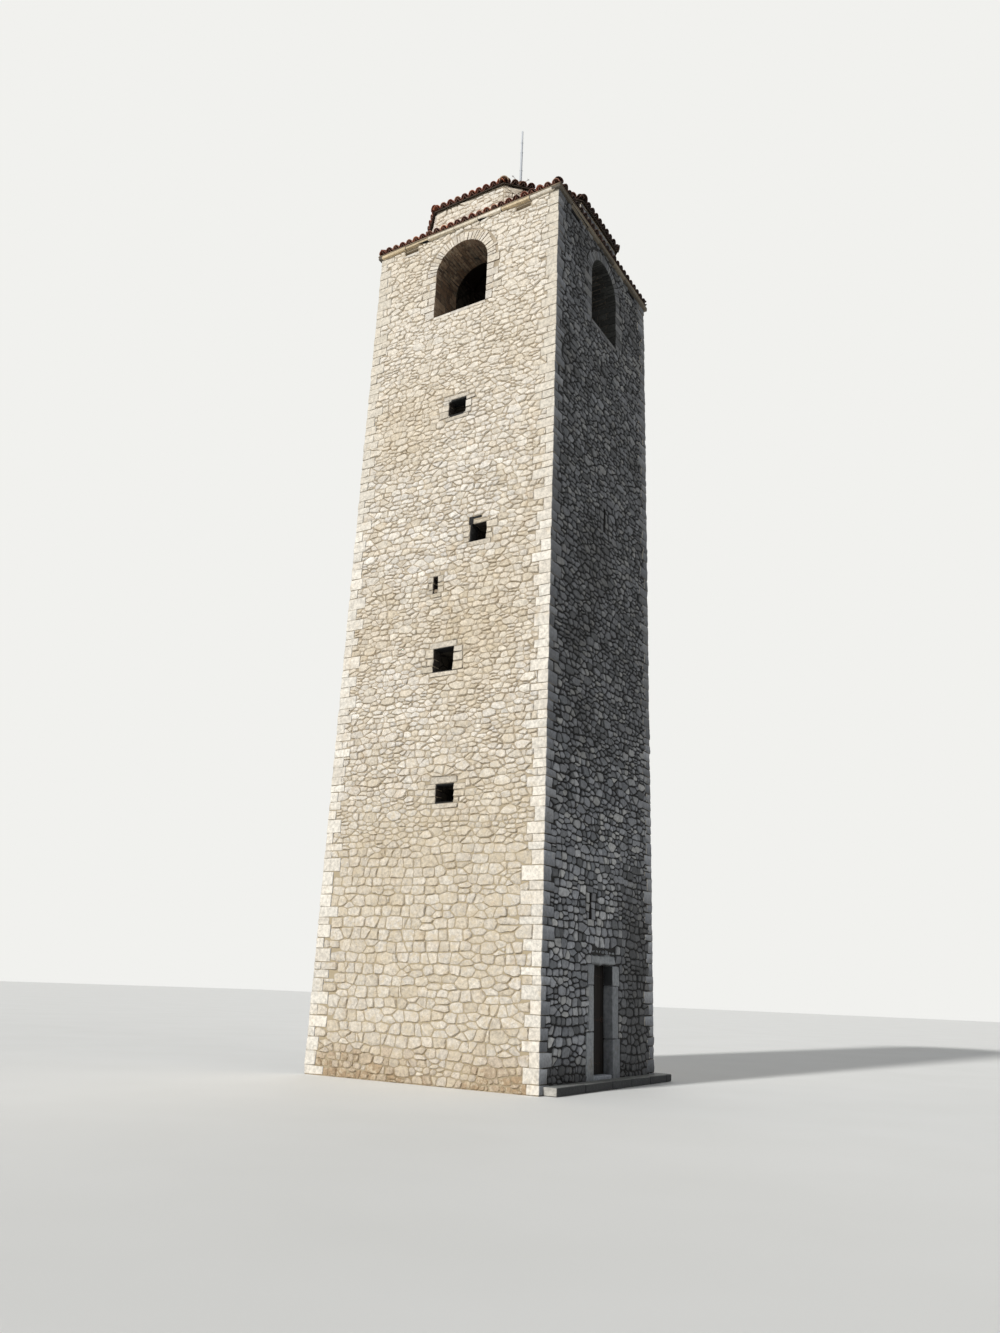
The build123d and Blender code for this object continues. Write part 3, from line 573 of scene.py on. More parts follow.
# Sockets under the cornice.
# Two shallow sockets near each corner, left where scaffold or a canopy was once fixed.
SOCKET_WIDTH, SOCKET_HEIGHT, SOCKET_OFFSET, SOCKET_TOP = 0.380, 0.100, 1.550, 18.595
SOCKET_FOOT = SOCKET_TOP - SOCKET_HEIGHT
SOCKET_SILL, SOCKET_SILL_BACK, SOCKET_SILL_FRONT = 0.075, -0.19, 0.020
for side in SIDES:
    for middle in (-SOCKET_OFFSET, SOCKET_OFFSET):
        left_edge, right_edge = middle - SOCKET_WIDTH / 2, middle + SOCKET_WIDTH / 2
        keep_clear(side, left_edge, right_edge, SOCKET_FOOT, WALL_TOP)
        left_end, right_end = left_edge - 0.03, right_edge + 0.04
        lay_in_wall(side, (left_end, right_end, SOCKET_FOOT - SOCKET_SILL, SOCKET_FOOT - 0.004),
                    SOCKET_SILL_BACK, SOCKET_SILL_FRONT, weathered_and_shaded(side, SOCKET_TOP), 0.010, 0.005)
        keep_clear(side, left_end, right_end, SOCKET_FOOT - 0.08, SOCKET_FOOT)

# Belfry arches.
# A round-headed opening in each face, turned in thin flat stones set on edge round a centring, over
# jambs of small squared stones. The stones run back through the wall and show under the arch.
ARCH_SILL = 16.357
# Middle, width and crown, by whether the side is sunny.
ARCHES = {False: (-0.027, 1.325, 18.315), True: (-0.051, 1.413, 18.256)}
ARCH_STONE_THICKNESS, ARCH_STONE_HEIGHT = (0.065, 0.125), (0.20, 0.285)
# Stones under the arch and in its jambs' reveals are painted brown and dark with shade, darker still on the
# shaded sides.
UNDER_SHADE_TINTS = {True: ("#7D644D", "#705944", "#8A725C", "#624F3E", "#937C65", "#776450"),
               False: ("#353634", "#2D2E2C", "#3E3F3C", "#272826")}
ARCH_JOINT, UNDER_ARCH = 0.004, 0.05
BELFRY_WALL = 0.850
SILL_THICKNESS, SILL_JOINT = 0.07, 0.003


def turn_arch(side, middle, radius, spring):
    """Stones of one arch: in angle from the left springing, distance from its centre, and out."""
    on_wall = on_side(side)

    def place(points):
        angle, distance, out = points.T
        flat = np.column_stack((middle - distance * np.cos(angle), spring + distance * np.sin(angle), out))
        return on_wall(flat)

    ring = Pile(place)
    gap = ARCH_JOINT / radius
    for start, end in spans(0, math.pi, *(t / (radius + 0.1) for t in ARCH_STONE_THICKNESS)):
        deep = -draw(0.20, 0.36)
        under = shade_of(UNDER_SHADE_TINTS[side.sunny], 0.08)
        lay_block(ring, (start + gap, radius - 0.006, deep),
                  (end - gap, radius + draw(*ARCH_STONE_HEIGHT), draw(0.012, 0.022)),
                  (under, under, weathered_and_shaded(side, spring, 0.06)), 0.006, 0.003, radius)
        for back, front in spans(-BELFRY_WALL, deep, 0.20, 0.34):
            lay_block(ring, (start + gap, radius - draw(0.001, 0.010), back + 0.004),
                      (end - gap, radius + UNDER_ARCH, front - 0.004),
                      shade_of(UNDER_SHADE_TINTS[side.sunny], 0.08), 0.008, 0.004, radius)
    circles[side].append((middle, spring, radius + ARCH_STONE_HEIGHT[1] - 0.01))
    ring.build(f"{side.name}_arch_stones", RUBBLE[side.sunny], "arch_stone")


def line_jambs(side, middle, radius, spring):
    for edge, outwards in ((middle - radius, -1), (middle + radius, 1)):
        for course, (low, high) in enumerate(spans(ARCH_SILL, spring, 0.15, 0.24)):
            face = draw(0.30, 0.40) if course % 2 else draw(0.17, 0.26)
            deep = -draw(0.22, 0.30) if course % 2 else -draw(0.36, 0.46)
            near, far = edge - outwards * REVEAL_INTO_HOLE, edge + outwards * face
            under = shade_of(UNDER_SHADE_TINTS[side.sunny], 0.08)
            lay_in_wall(side, (near, far, low + 0.004, high - 0.004), deep, draw(0.012, 0.020),
                        (under, under, weathered_and_shaded(side, low)), 0.010, 0.005)
            keep_clear(side, near, far, low, high)
            far = edge + outwards * UNDER_ARCH
            for back, front in spans(-BELFRY_WALL, deep, 0.16, 0.30):
                lay_in_wall(side, (near, far, low + 0.004, high - 0.004), back + 0.005, front - 0.005,
                            shade_of(UNDER_SHADE_TINTS[side.sunny], 0.08), 0.010, 0.005)


for side in SIDES:
    middle, width, crown = ARCHES[side.sunny]
    radius = width / 2
    spring = crown - radius
    turn_arch(side, middle, radius, spring)
    line_jambs(side, middle, radius, spring)
    for left_end, right_end in spans(middle - radius, middle + radius, 0.34, 0.5):
        place = (left_end + SILL_JOINT, right_end - SILL_JOINT, ARCH_SILL - SILL_THICKNESS)
        lay_in_wall(side, (*place, ARCH_SILL + 0.010), -0.42, 0.018, weathered_and_shaded(side, ARCH_SILL),
                    0.010, 0.004)
        lay_in_wall(side, (*place, ARCH_SILL + 0.006), -BELFRY_WALL + 0.004, -0.425,
                    shade_of(TINTS[side.sunny]), 0.010, 0.004)
    keep_clear(side, middle - radius, middle + radius, ARCH_SILL - SILL_THICKNESS, spring)

squinch_stone = limestone("squinch_limestone", 0.015, 0.014, "#CDBFA6")
finish_node("corner_squinches", squinch_stone)

# Doorway.
# Three squared jamb stones on each side, the lowest one wider, a worn threshold and a rough lintel in a
# single piece. Small stones are wedged into the open joint over the lintel.
DOOR_LEFT, DOOR_RIGHT, DOOR_HEAD, THRESHOLD = -0.3905, 0.4345, 2.170, 0.215
LEFT_JAMB, RIGHT_JAMB, LOW_EXTRA, LEFT_JOINT, RIGHT_JOINT = 0.265, 0.304, 0.042, 0.980, 0.840
TOP_JOINT, MIDDLE_LESS = 1.80, 0.05
LINTEL_ENDS, LINTEL_TOP, JAMB_DEPTH = (-0.500, 0.567), 2.350, 0.190
PINNING_TOP = 2.47
# The doorway's stones are grey-blue and dark with painted shade, like the rest of the front.
JAMB_TINTS = ("#909396", "#84878B", "#9A9DA0", "#797C80")
# The reveal of the top jamb stones, under the lintel, is painted near black with shade.
TOP_REVEAL_SHADE = linear("#2E3032")

front_wall = on_side(FRONT)
for which, edge, outwards, width, joint in (("left", DOOR_LEFT, -1, LEFT_JAMB, LEFT_JOINT),
                                            ("right", DOOR_RIGHT, 1, RIGHT_JAMB, RIGHT_JOINT)):
    jamb = Pile(front_wall)
    for low, high, far in ((0, joint, edge + outwards * (width + LOW_EXTRA)),
                           (joint, TOP_JOINT, edge + outwards * (width - MIDDLE_LESS)),
                           (TOP_JOINT, DOOR_HEAD, edge + outwards * width)):
        tint = shade_of(JAMB_TINTS, 0.06)
        lay_block(jamb, (edge, max(low + 0.005, 0.018), -JAMB_DEPTH + 0.002),
                  (far, high - 0.002, FACE_PROUD),
                  (TOP_REVEAL_SHADE if high == DOOR_HEAD else tint, tint, tint), 0.014, 0.005)
        keep_clear(FRONT, edge, far, low, high)
    jamb.build(f"doorway_jamb_stones_{which}", dressed_limestone, "dressed_stone",
               replaces=(f"door_jamb_{which}",), lumps=0.008)
keep_clear(FRONT, DOOR_LEFT, DOOR_RIGHT, 0, DOOR_HEAD)

lintel = Pile(front_wall)
# The lintel's ends, top and bottom are painted darker than its face, as shade in the joints round it.
lay_block(lintel, (LINTEL_ENDS[0], DOOR_HEAD + 0.002, -JAMB_DEPTH + 0.002),
          (LINTEL_ENDS[1], LINTEL_TOP, 0.020),
          (linear("#5A5C5D"), linear("#303130"), linear("#9A9DA0")), 0.040, 0.012)
lintel_piece = lintel.build("doorway_lintel_stone", shaded_rubble, "dressed_stone", replaces=("door_lintel",),
                            lumps=0.030)
hew(lintel_piece.data, 0.055)
keep_clear(FRONT, *LINTEL_ENDS, DOOR_HEAD, PINNING_TOP)
for low, high in spans(LINTEL_ENDS[0] + 0.02, LINTEL_ENDS[1] - 0.02, 0.10, 0.20):
    lay_in_wall(FRONT, (low + 0.014, high - 0.014, LINTEL_TOP + 0.026, PINNING_TOP - draw(0.004, 0.03)),
                -0.05, draw(0.004, 0.018), shade_of(JAMB_TINTS, 0.08), 0.024, 0.008)

threshold = Pile(front_wall)
lay_block(threshold, (DOOR_LEFT + 0.002, 0.006, -JAMB_DEPTH + 0.002),
          (DOOR_RIGHT - 0.002, THRESHOLD, 0.004), shade_of(SHADED_DRESSED_TINTS), 0.020, 0.003)
threshold.build("doorway_threshold_stone", dressed_limestone, "dressed_stone", replaces=("door_threshold",))

# Rubble facing.
# Field stones of local limestone, roughly coursed low down and less so higher up, each cut to fit its
# neighbours. Every stone is its own closed solid, bedded a centimetre into the mortar.
# A stone's outline is the part of the face nearer to its own middle than to any other stone's, measured
# with heights counted STONE_FLATNESS times, which makes stones longer than they are high.
STONE_FLATNESS = 2.0
COURSED_BELOW, UPPER_FACING = 4.2, 9.0
LOW_COURSES, HIGH_COURSES = (0.150, 0.235), (0.120, 0.185)
# The stones of each side against those sizes, low down and higher up.
STONE_SIZES = {FRONT: (0.84, 0.95), RIGHT: (1.10, 1.15), BACK: (1.10, 1.15), LEFT: (1.0, 0.93)}
LOW_LENGTHS, HIGH_LENGTHS = (0.13, 0.38), (0.11, 0.27)
FOOT_COURSES, FOOT_BELOW = (0.09, 0.15), 0.30
SMALL_SHARE, COURSE_DRIFT = 0.15, 0.07
# Of a random number from 0 to 1: two thin stones below the first, and a big one above the second.
THIN_BELOW, BIG_ABOVE = 0.13, 0.94
# Half a joint, and the share that it keeps where it was pointed again, by whether the side is sunny.
HALF_JOINT = {True: (0.003, 0.009), False: (0.006, 0.018)}
REPOINTED_BELOW, REPOINTED_SHARE = 5.0, {True: 1.15, False: 0.82}
REPOINTED_PROUD, EDGE_PROUD = 0.8, 0.35
STONE_BEDDED, CHIPPED = 0.012, 0.004
NEIGHBOUR_REACH = 0.75
SMALLEST_STONE, SMALLEST_MOVED = 0.0020, 0.0012  # Square metres.
SMALLEST_NOTCH = 0.07


def cut(outline, normal_u, normal_z, limit):
    """Keeps the part of a convex outline on the near side of a line."""
    kept = []
    last = outline[-1]
    last_over = normal_u * last[0] + normal_z * last[1] - limit
    for point in outline:
        over = normal_u * point[0] + normal_z * point[1] - limit
        if (over > 0) != (last_over > 0):
            share = last_over / (last_over - over)
            kept.append((last[0] + share * (point[0] - last[0]), last[1] + share * (point[1] - last[1])))
        if over <= 0:
            kept.append(point)
        last, last_over = point, over
    return kept


def stone_outline(seed, near, rectangles, rounds, joint):
    """The outline of one stone between its neighbours and whatever is already built."""
    u, z, weight = seed
    flat2 = STONE_FLATNESS ** 2
    outline = [(u - 0.5, z - 0.35), (u + 0.5, z - 0.35), (u + 0.5, z + 0.35), (u - 0.5, z + 0.35)]
    for other_u, other_z, other_weight in near:
        normal_u, normal_z = 2 * (other_u - u), 2 * flat2 * (other_z - z)
        limit = other_u ** 2 - u ** 2 + flat2 * (other_z ** 2 - z ** 2) - other_weight + weight
        outline = cut(outline, normal_u, normal_z, limit - joint * math.hypot(normal_u, normal_z))
        if len(outline) < 3:
            return []
    for low_u, high_u, low_z, high_z in rectangles:
        room, line = max((low_u - u, (1, 0, low_u)), (u - high_u, (-1, 0, -high_u)),
                         ((low_z - z) * STONE_FLATNESS, (0, 1, low_z)),
                         ((z - high_z) * STONE_FLATNESS, (0, -1, -high_z)))
        outline = cut(outline, line[0], line[1], line[2] - joint) if room > 0 else []
        if len(outline) < 3:
            return []
    for middle_u, middle_z, radius in rounds:
        away = math.hypot(middle_u - u, middle_z - z)
        if away < 1.6 * radius + 1:
            line_u, line_z = (middle_u - u) / away, (middle_z - z) / away
            limit = line_u * middle_u + line_z * middle_z - radius - joint
            outline = cut(outline, line_u, line_z, limit) if away > radius else []
            if len(outline) < 3:
                return []
    return outline


def area_and_middle(outline):
    area = middle_u = middle_z = 0
    for (u0, z0), (u1, z1) in zip(outline, outline[1:] + outline[:1]):
        cross = u0 * z1 - u1 * z0
        area += cross / 2
        middle_u += (u0 + u1) * cross / 6
        middle_z += (z0 + z1) * cross / 6
    return (area, middle_u / area, middle_z / area) if area > 1e-6 else (0, 0, 0)


def worn(outline):
    """Knocks off the corners of an outline and bends its long edges."""
    points = [p for p, q in zip(outline, outline[1:] + outline[:1]) if math.dist(p, q) > 0.012]
    if len(points) < 3:
        return outline
    shaped = []
    for before, point, after in zip(points[-1:] + points[:-1], points, points[1:] + points[:1]):
        for other in (before, after):
            run_u, run_z = other[0] - point[0], other[1] - point[1]
            length = math.dist(point, other)
            share = min(0.33, draw(0.008, 0.044) / length)
            shaped.append((point[0] + share * run_u + draw(-CHIPPED, CHIPPED),
                           point[1] + share * run_z + draw(-CHIPPED, CHIPPED)))
            if other is after and length > 0.15:
                bend = draw(-0.009, 0.006)
                share = draw(0.42, 0.58)
                shaped.append((point[0] + share * run_u + bend * run_z / length,
                               point[1] + share * run_z - bend * run_u / length))
    return shaped


def lay_stone(pile, outline, edge_out, face_out, tint, rim=1.0):
    """A closed stone: bedded back, steep sides, a rounded edge and a slightly tilted hewn face.
    Its edges have the share rim of its brightness, as painted shade in the joints."""
    area, middle_u, middle_z = area_and_middle(outline)
    count = len(outline)
    tilt_u, tilt_z = draw(-0.09, 0.09), draw(-0.12, 0.12)
    rounding = min(0.018, 0.22 * math.sqrt(area))
    back = [(u, z, -STONE_BEDDED) for u, z in outline]
    edge = [(u, z, edge_out) for u, z in outline]
    face = []
    for u, z in outline:
        reach = math.hypot(u - middle_u, z - middle_z)
        inward = draw(0.7, 1.3) * rounding / reach
        out = face_out + tilt_u * (u - middle_u) + tilt_z * (z - middle_z) + draw(-0.003, 0.003)
        face.append((u + inward * (middle_u - u), z + inward * (middle_z - z), max(out, edge_out + 0.002)))
    top = (middle_u + draw(-0.02, 0.02), middle_z + draw(-0.01, 0.01), face_out + draw(0.0, 0.006))
    faces = [list(range(count))[::-1]]
    for i in range(count):
        j = (i + 1) % count
        faces.append([i, j, count + j, count + i])
        faces.append([count + i, count + j, 2 * count + j, 2 * count + i])
        faces.append([2 * count + i, 2 * count + j, 3 * count])
    shaded_edge = tuple(rim * part for part in tint[:3]) + tuple(tint[3:])
    pile.add(back + edge + face + [top], faces, [shaded_edge] * (2 * count) + [tint] * (count + 1))


def seeds_between(left, right, bottom, top, steady_below, sizes):
    """Rows of stone middles. Now and then a place gets two thin stones, or a big stone takes two places."""
    rows = []
    height = bottom
    while height < top:
        steady = height < steady_below
        size = sizes[0] if steady else sizes[1]
        course = size * draw(*(LOW_COURSES if steady else HIGH_COURSES))
        if height < FOOT_BELOW:
            course = draw(*FOOT_COURSES)
        wander = course * (0.05 if steady else 0.22)
        row = []
        across = left - draw(0, 0.2)
        while across < right + 0.1:
            length = size * draw(*(LOW_LENGTHS if steady else HIGH_LENGTHS))
            if height < FOOT_BELOW or chance.random() < SMALL_SHARE:
                length *= 0.6
            u, z = across + length / 2, height + course / 2 + draw(-wander, wander)
            z += COURSE_DRIFT * noise.noise(Vector((u / 1.1, height / 0.8, bottom)))
            kind = chance.random()
            if kind < THIN_BELOW:
                row.append((u, z - 0.27 * course, 0.0))
                row.append((u + draw(-0.03, 0.03), z + 0.27 * course, 0.0))
            elif kind > BIG_ABOVE:
                row.append((u, z, 0.030 * size ** 2))
            else:
                row.append((u, z, draw(-0.009, 0.011) * size ** 2))
            across += length
        rows.append((height + course / 2, sorted(row)))
        height += course
    return rows


def near_seeds(rows, index, seed):
    found = []
    for _, row in rows[max(0, index - 3):index + 4]:
        first = bisect_left(row, (seed[0] - NEIGHBOUR_REACH,))
        last = bisect_left(row, (seed[0] + NEIGHBOUR_REACH,))
        found.extend(other for other in row[first:last] if other is not seed)
    return sorted(found, key=lambda other: (abs(other[0] - seed[0])
                                            + STONE_FLATNESS * abs(other[1] - seed[1])))


def fit_stones(rows, rectangles, rounds, joints, repointed=1.0):
    """Yields the outline of every stone, after one round of moving each middle into its own stone.
    Low down the middles keep to their courses."""
    for final in (False, True):
        moved = []
        for index, (level, row) in enumerate(rows):
            close = [r for r in rectangles if r[2] < level + 0.8 and r[3] > level - 0.8]
            shifted = []
            for seed in row:
                beside = [r for r in close if r[0] < seed[0] + 0.7 and r[1] > seed[0] - 0.7]
                joint = draw(*joints) if final else 0
                if level < REPOINTED_BELOW:
                    joint *= repointed
                outline = stone_outline(seed, near_seeds(rows, index, seed), beside, rounds, joint)
                if not outline:
                    continue
                area, u, z = area_and_middle(outline)
                if final:
                    if area > SMALLEST_STONE:
                        yield outline, u, z
                elif area > SMALLEST_MOVED:
                    drawn = 0.15 if level < COURSED_BELOW else 0.65
                    shifted.append((seed[0] * 0.35 + u * 0.65, seed[1] + drawn * (z - seed[1]), seed[2]))
            moved.append((level, sorted(shifted)))
        rows = moved


def patch(u, z, size, seed):
    """Slow change over a face, from 0 to 1."""
    return min(1, max(0, 0.5 + 1.1 * noise.noise(Vector((u / size, z / size, seed)))))


OCHRE, EARTH, LOW_WARMTH, HIGH_PALE = (linear(c) for c in ("#CDB996", "#A4865F", "#BFB097", "#F3E9D8"))


def rubble_tint(side, u, z):
    """A stone's colour: ochre in patches and earthy near the ground in the sun. In the shade it is darkened
    with painted shade, more so higher up, beside the door and towards the foot."""
    tint = shade_of(TINTS[side.sunny], 0.05 if side.sunny else 0.11)
    if side.sunny:
        warm = max(0, patch(u, z * 0.8, 2.6, 3.1 + side.turns) - 0.52)
        tint = blend_colours(tint, OCHRE, min(0.5, warm))
        tint = blend_colours(tint, LOW_WARMTH, 0.34 * rise_of(z, 7, 4))
        tint = blend_colours(tint, HIGH_PALE, 0.45 * rise_of(z, 11, 16))
        earthy = rise_of(z, 0.75, 0) * (0.3 + patch(u, z * 3, 1.1, 9.4)) * draw(0.3, 1.2)
        return blend_colours(tint, EARTH, min(0.8, 1.25 * earthy))
    # On the shaded sides the stone is darkened with painted shade.
    tint = darker_higher_in_shade(tint, z, 0.52 + 0.9 * max(0, patch(u, z, 1.6, 5.7 + side.turns) - 0.55))
    shade_by_door = 0.8 * rise_of(u, 0.3, 1.2) * rise_of(z, 5, 3) if side is FRONT else 0
    return blend_colours(tint, SHADE_GREY, max(shade_by_door, 0.8 * rise_of(z, 0.7, 0.3)))


def rim_share(side, z):
    """How bright the edges of a stone are against its face, as painted shade in the joints. In the sun they
    are less darkened higher up.
    """
    return 0.82 + 0.14 * rise_of(z, 3, 8) if side.sunny else 0.34


def around(outline, u, z):
    """Whether a convex outline goes round a point."""
    return all((q[0] - p[0]) * (z - p[1]) > (q[1] - p[1]) * (u - p[0])
               for p, q in zip(outline, outline[1:] + outline[:1]))


def notches(side, edge):
    """Yields the places beside the short corner stones, between the long ones over and under them."""
    for end in (-1, 1):
        reaches = [(low_z, high_z, min(end * low_u, end * high_u)) for low_u, high_u, low_z, high_z
                   in kept_clear[side] if max(end * low_u, end * high_u) > edge + 0.5]
        for (_, _, below), (low_z, high_z, here), (_, _, above) in zip(reaches, reaches[1:], reaches[2:]):
            near = max(below, above)
            if here - near > SMALLEST_NOTCH:
                yield min(end * near, end * here), max(end * near, end * here), low_z, high_z


for side in SIDES:
    edge = half_across(side, 0)
    laid = []
    facing = {"low": Pile(on_side(side)), "high": Pile(on_side(side))}
    rows = seeds_between(-edge, edge, 0.02, WALL_TOP, COURSED_BELOW, STONE_SIZES[side])
    rectangles = kept_clear[side] + [(-9, 9, -1, 0.004), (-9, 9, WALL_TOP - 0.004, WALL_TOP + 1)]
    for outline, u, z in fit_stones(rows, rectangles, circles[side], HALF_JOINT[side.sunny],
                                    REPOINTED_SHARE[side.sunny]):
        proud = draw(0.012, 0.036) if side.sunny else draw(0.015, 0.040)
        if z < REPOINTED_BELOW:
            proud *= REPOINTED_PROUD
        lay_stone(facing["low" if z < UPPER_FACING else "high"], worn(outline), proud * EDGE_PROUD, proud,
                  rubble_tint(side, u, z), rim_share(side, z))
        laid.append((outline, u, z))
    for low_u, high_u, low_z, high_z in notches(side, edge):
        # A notch that no stone has reached is filled with a stone of its own.
        u, z = (low_u + high_u) / 2, (low_z + high_z) / 2
        near = [outline for outline, other_u, other_z in laid
                if abs(other_u - u) < 0.6 and abs(other_z - z) < 0.4]
        spots = [(u + share * (high_u - low_u), z) for share in (-0.35, 0, 0.35)]
        if not any(around(outline, *spot) for outline in near for spot in spots):
            joint = draw(*HALF_JOINT[side.sunny]) + 0.002
            outline = [(low_u + joint, low_z + joint), (high_u - joint, low_z + joint),
                       (high_u - joint, high_z - joint), (low_u + joint, high_z - joint)]
            lay_stone(facing["low" if z < UPPER_FACING else "high"], worn(outline), 0.005, 0.016,
                      rubble_tint(side, u, z), rim_share(side, z))
    for part, stones in facing.items():
        stones.build(f"{side.name}_rubble_stones_{part}", RUBBLE[side.sunny], "rubble", sharp=32)
    opening_stones[side].build(f"{side.name}_opening_stones", hewn_limestone if side.sunny else shaded_rubble,
                               "dressed_stone")

# Step.
# Long worn slabs along the foot of the front, the last one running on past the corner. Their fronts
# and tread are dark with damp and with painted shade.
STEP_LEFT, STEP_RIGHT, STEP_TOP, STEP_FRONT, STEP_END_BACK = -2.330, 2.740, 0.150, -2.800, -2.240
WALL_FOOT_Y, STEP_END = -2.512, 2.455
STEP_SHADE_TINTS = ("#232527", "#1F2123", "#2A2C2E")
STEP_TREAD, STEP_END_TINT = linear("#7A7B78"), linear("#B9B5AC")


def upright(points):
    """Along the front, up, and out of it, as plain lengths."""
    return points[:, [0, 2, 1]] * (1, -1, 1)


step_slabs = Pile(upright)
slabs = [(low, high - 0.003, STEP_TOP - 0.002, WALL_FOOT_Y)
         for low, high in spans(STEP_LEFT, STEP_END, 0.85, 1.25)]
slabs.append((STEP_END, STEP_RIGHT - 0.005, STEP_TOP - 0.003, STEP_END_BACK))
for low, high, top, back in slabs:
    lay_block(step_slabs, (low + 0.003, 0.005, -back), (high, top, -STEP_FRONT - 0.004),
              (shade_of(STEP_SHADE_TINTS), STEP_TREAD, shade_of(STEP_SHADE_TINTS)), 0.014, 0.002)
for corner in (0, 2, 4, 6):
    # The end of the first slab keeps the pale colour of the stone.
    step_slabs.tints[3 * corner] = STEP_END_TINT
step_slabs.build("front_step_slabs", dressed_limestone, "step_stone", replaces=("front_step",))

# Door.
# Six upright planks of dark brown old chestnut, painted almost black with the shade of the doorway,
# nailed to three ledges on the inner side.
# The leaf hangs on two forged straps and is pulled to by an iron ring.
LEAF_LEFT, LEAF_RIGHT, LEAF_BOTTOM, LEAF_TOP = -0.4305, 0.4745, 0.165, 2.210
LEAF_FACE_Y, PLANK_BACK_Y, LEDGE_BACK_Y = -2.325, -2.280, -2.255
PLANK_COUNT = 6
PLANK_GAP, LEDGE_SHORT = 0.0012, 0.02
LEDGE_LEVELS, LEDGE_HALF = (0.400, 1.190, 1.960), 0.070
PLANK_SHADE_TINTS = ("#15120F", "#120F0D", "#191511", "#0F0D0C")


def timber(name, along, pale, dark, sawn):
    """Old timber. Grain runs along one axis, in streaks a few millimetres wide. Sawn boards have tints of
    their own."""
    made, tree, shader, where = new_material(name, {"Roughness": 0.8, "Specular IOR Level": 0.25})
    stretch = [1 / 0.008] * 3
    stretch["xyz".index(along)] = 1 / 0.35
    grain_place = add(tree, "Mapping", {0: where, 3: stretch})
    grain = add(tree, "TexNoise", {"Vector": grain_place, "Scale": 1.0, "Detail": 4.0, "Distortion": 0.6})
    age = add(tree, "TexNoise", {"Vector": where, "Scale": 1 / 0.25, "Detail": 4.0})
    aged = add(tree, "Attribute", attribute_name="tint") if sawn else linear(dark)
    streak = add(tree, "MapRange", {0: grain, 1: 0.35, 2: 0.65})
    tone = add(tree, "Mix", {0: streak, 6: linear(dark), 7: linear(pale)}, data_type="RGBA")
    worn_by = add(tree, "MapRange", {0: age, 1: 0.3, 2: 0.7, 3: 0.25, 4: 0.75})
    tone = add(tree, "Mix", {0: worn_by, 6: tone, 7: aged}, data_type="RGBA")
    ridges = add(tree, "Bump", {"Strength": 0.6, "Distance": 0.002, "Height": grain})
    fill(shader, {"Base Color": tone, "Normal": ridges})
    return made


# The planks' grain is near black with the painted shade of the doorway.
old_chestnut = timber("old_chestnut_planks", "z", "#1E1915", "#0B0908", True)
chestnut_ledge = timber("old_chestnut_ledges", "x", "#453629", "#1E1711", True)

planks = Pile(upright)
plank_width = (LEAF_RIGHT - LEAF_LEFT) / PLANK_COUNT
for number in range(PLANK_COUNT):
    low = LEAF_LEFT + number * plank_width
    lay_block(planks, (low + PLANK_GAP, LEAF_BOTTOM + 0.002, -PLANK_BACK_Y),
              (low + plank_width - PLANK_GAP, LEAF_TOP - 0.004, -LEAF_FACE_Y - 0.0015),
              linear(chance.choice(PLANK_SHADE_TINTS)), 0.005, 0.0008)
planks.build("door_planks", old_chestnut, "door_wood", body="door", replaces=("door_leaf",))
ledges = Pile(upright)
for level in LEDGE_LEVELS:
    lay_block(ledges, (LEAF_LEFT + LEDGE_SHORT, level - LEDGE_HALF, -LEDGE_BACK_Y + 0.0005),
              (LEAF_RIGHT - LEDGE_SHORT, level + LEDGE_HALF, -PLANK_BACK_Y + 0.002),
              linear(chance.choice(PLANK_SHADE_TINTS)), 0.005, 0.0004)
ledges.build("door_ledges", chestnut_ledge, "door_wood", body="door")

# Forged iron: dark scale with rust in the hollows, matt.
IRON_SCALE = linear("#35322F")
forged_iron, tree, shader, where = new_material("forged_iron", {"Metallic": 0.6})
rust = add(tree, "TexNoise", {"Vector": where, "Scale": 1 / 0.03, "Detail": 6.0})
rusted = add(tree, "MapRange", {0: rust, 1: 0.45, 2: 0.62})
tone = add(tree, "Mix", {0: rusted, 6: IRON_SCALE, 7: linear("#5F4030")}, data_type="RGBA")
rough = add(tree, "MapRange", {0: rust, 1: 0.3, 2: 0.7, 3: 0.45, 4: 0.85})
hammered = add(tree, "Bump", {"Strength": 0.5, "Distance": 0.001, "Height": rust})
fill(shader, {"Base Color": tone, "Roughness": rough, "Normal": hammered})
for name in ("door_straps", "door_ring", "door_hinge_pins"):
    finish_node(name, forged_iron)


def cloud_of(name, seats):
    """A cloud of points, each with the turn, stretch and tint of what stands on it."""
    mesh = bpy.data.meshes.new(name)
    mesh.from_pydata([seat[0] for seat in seats], [], [])
    fields = (("turn", "VECTOR"), ("stretch", "VECTOR"), ("tint", "COLOR"))
    for which, (label, kind) in enumerate(fields, 1):
        values = np.array([seat[which] for seat in seats], np.float32).ravel()
        mesh.attributes.new(label, "FLOAT_" + kind, "POINT").data.foreach_set(kind.lower(), values)
    cloud = bpy.data.objects.new(name, mesh)
    bpy.context.scene.collection.objects.link(cloud)
    return cloud


def new_pattern(name, sizes):
    """An empty node pattern with named sizes, and its input and output."""
    pattern = bpy.data.node_groups.new(name, "GeometryNodeTree")
    for way in ("INPUT", "OUTPUT"):
        pattern.interface.new_socket("Geometry", in_out=way, socket_type="NodeSocketGeometry")
    for label, size in sizes.items():
        kind = "NodeSocketInt" if isinstance(size, int) else "NodeSocketFloat"
        pattern.interface.new_socket(label, in_out="INPUT", socket_type=kind).default_value = size
    return pattern, add(pattern, "NodeGroupInput"), add(pattern, "NodeGroupOutput")


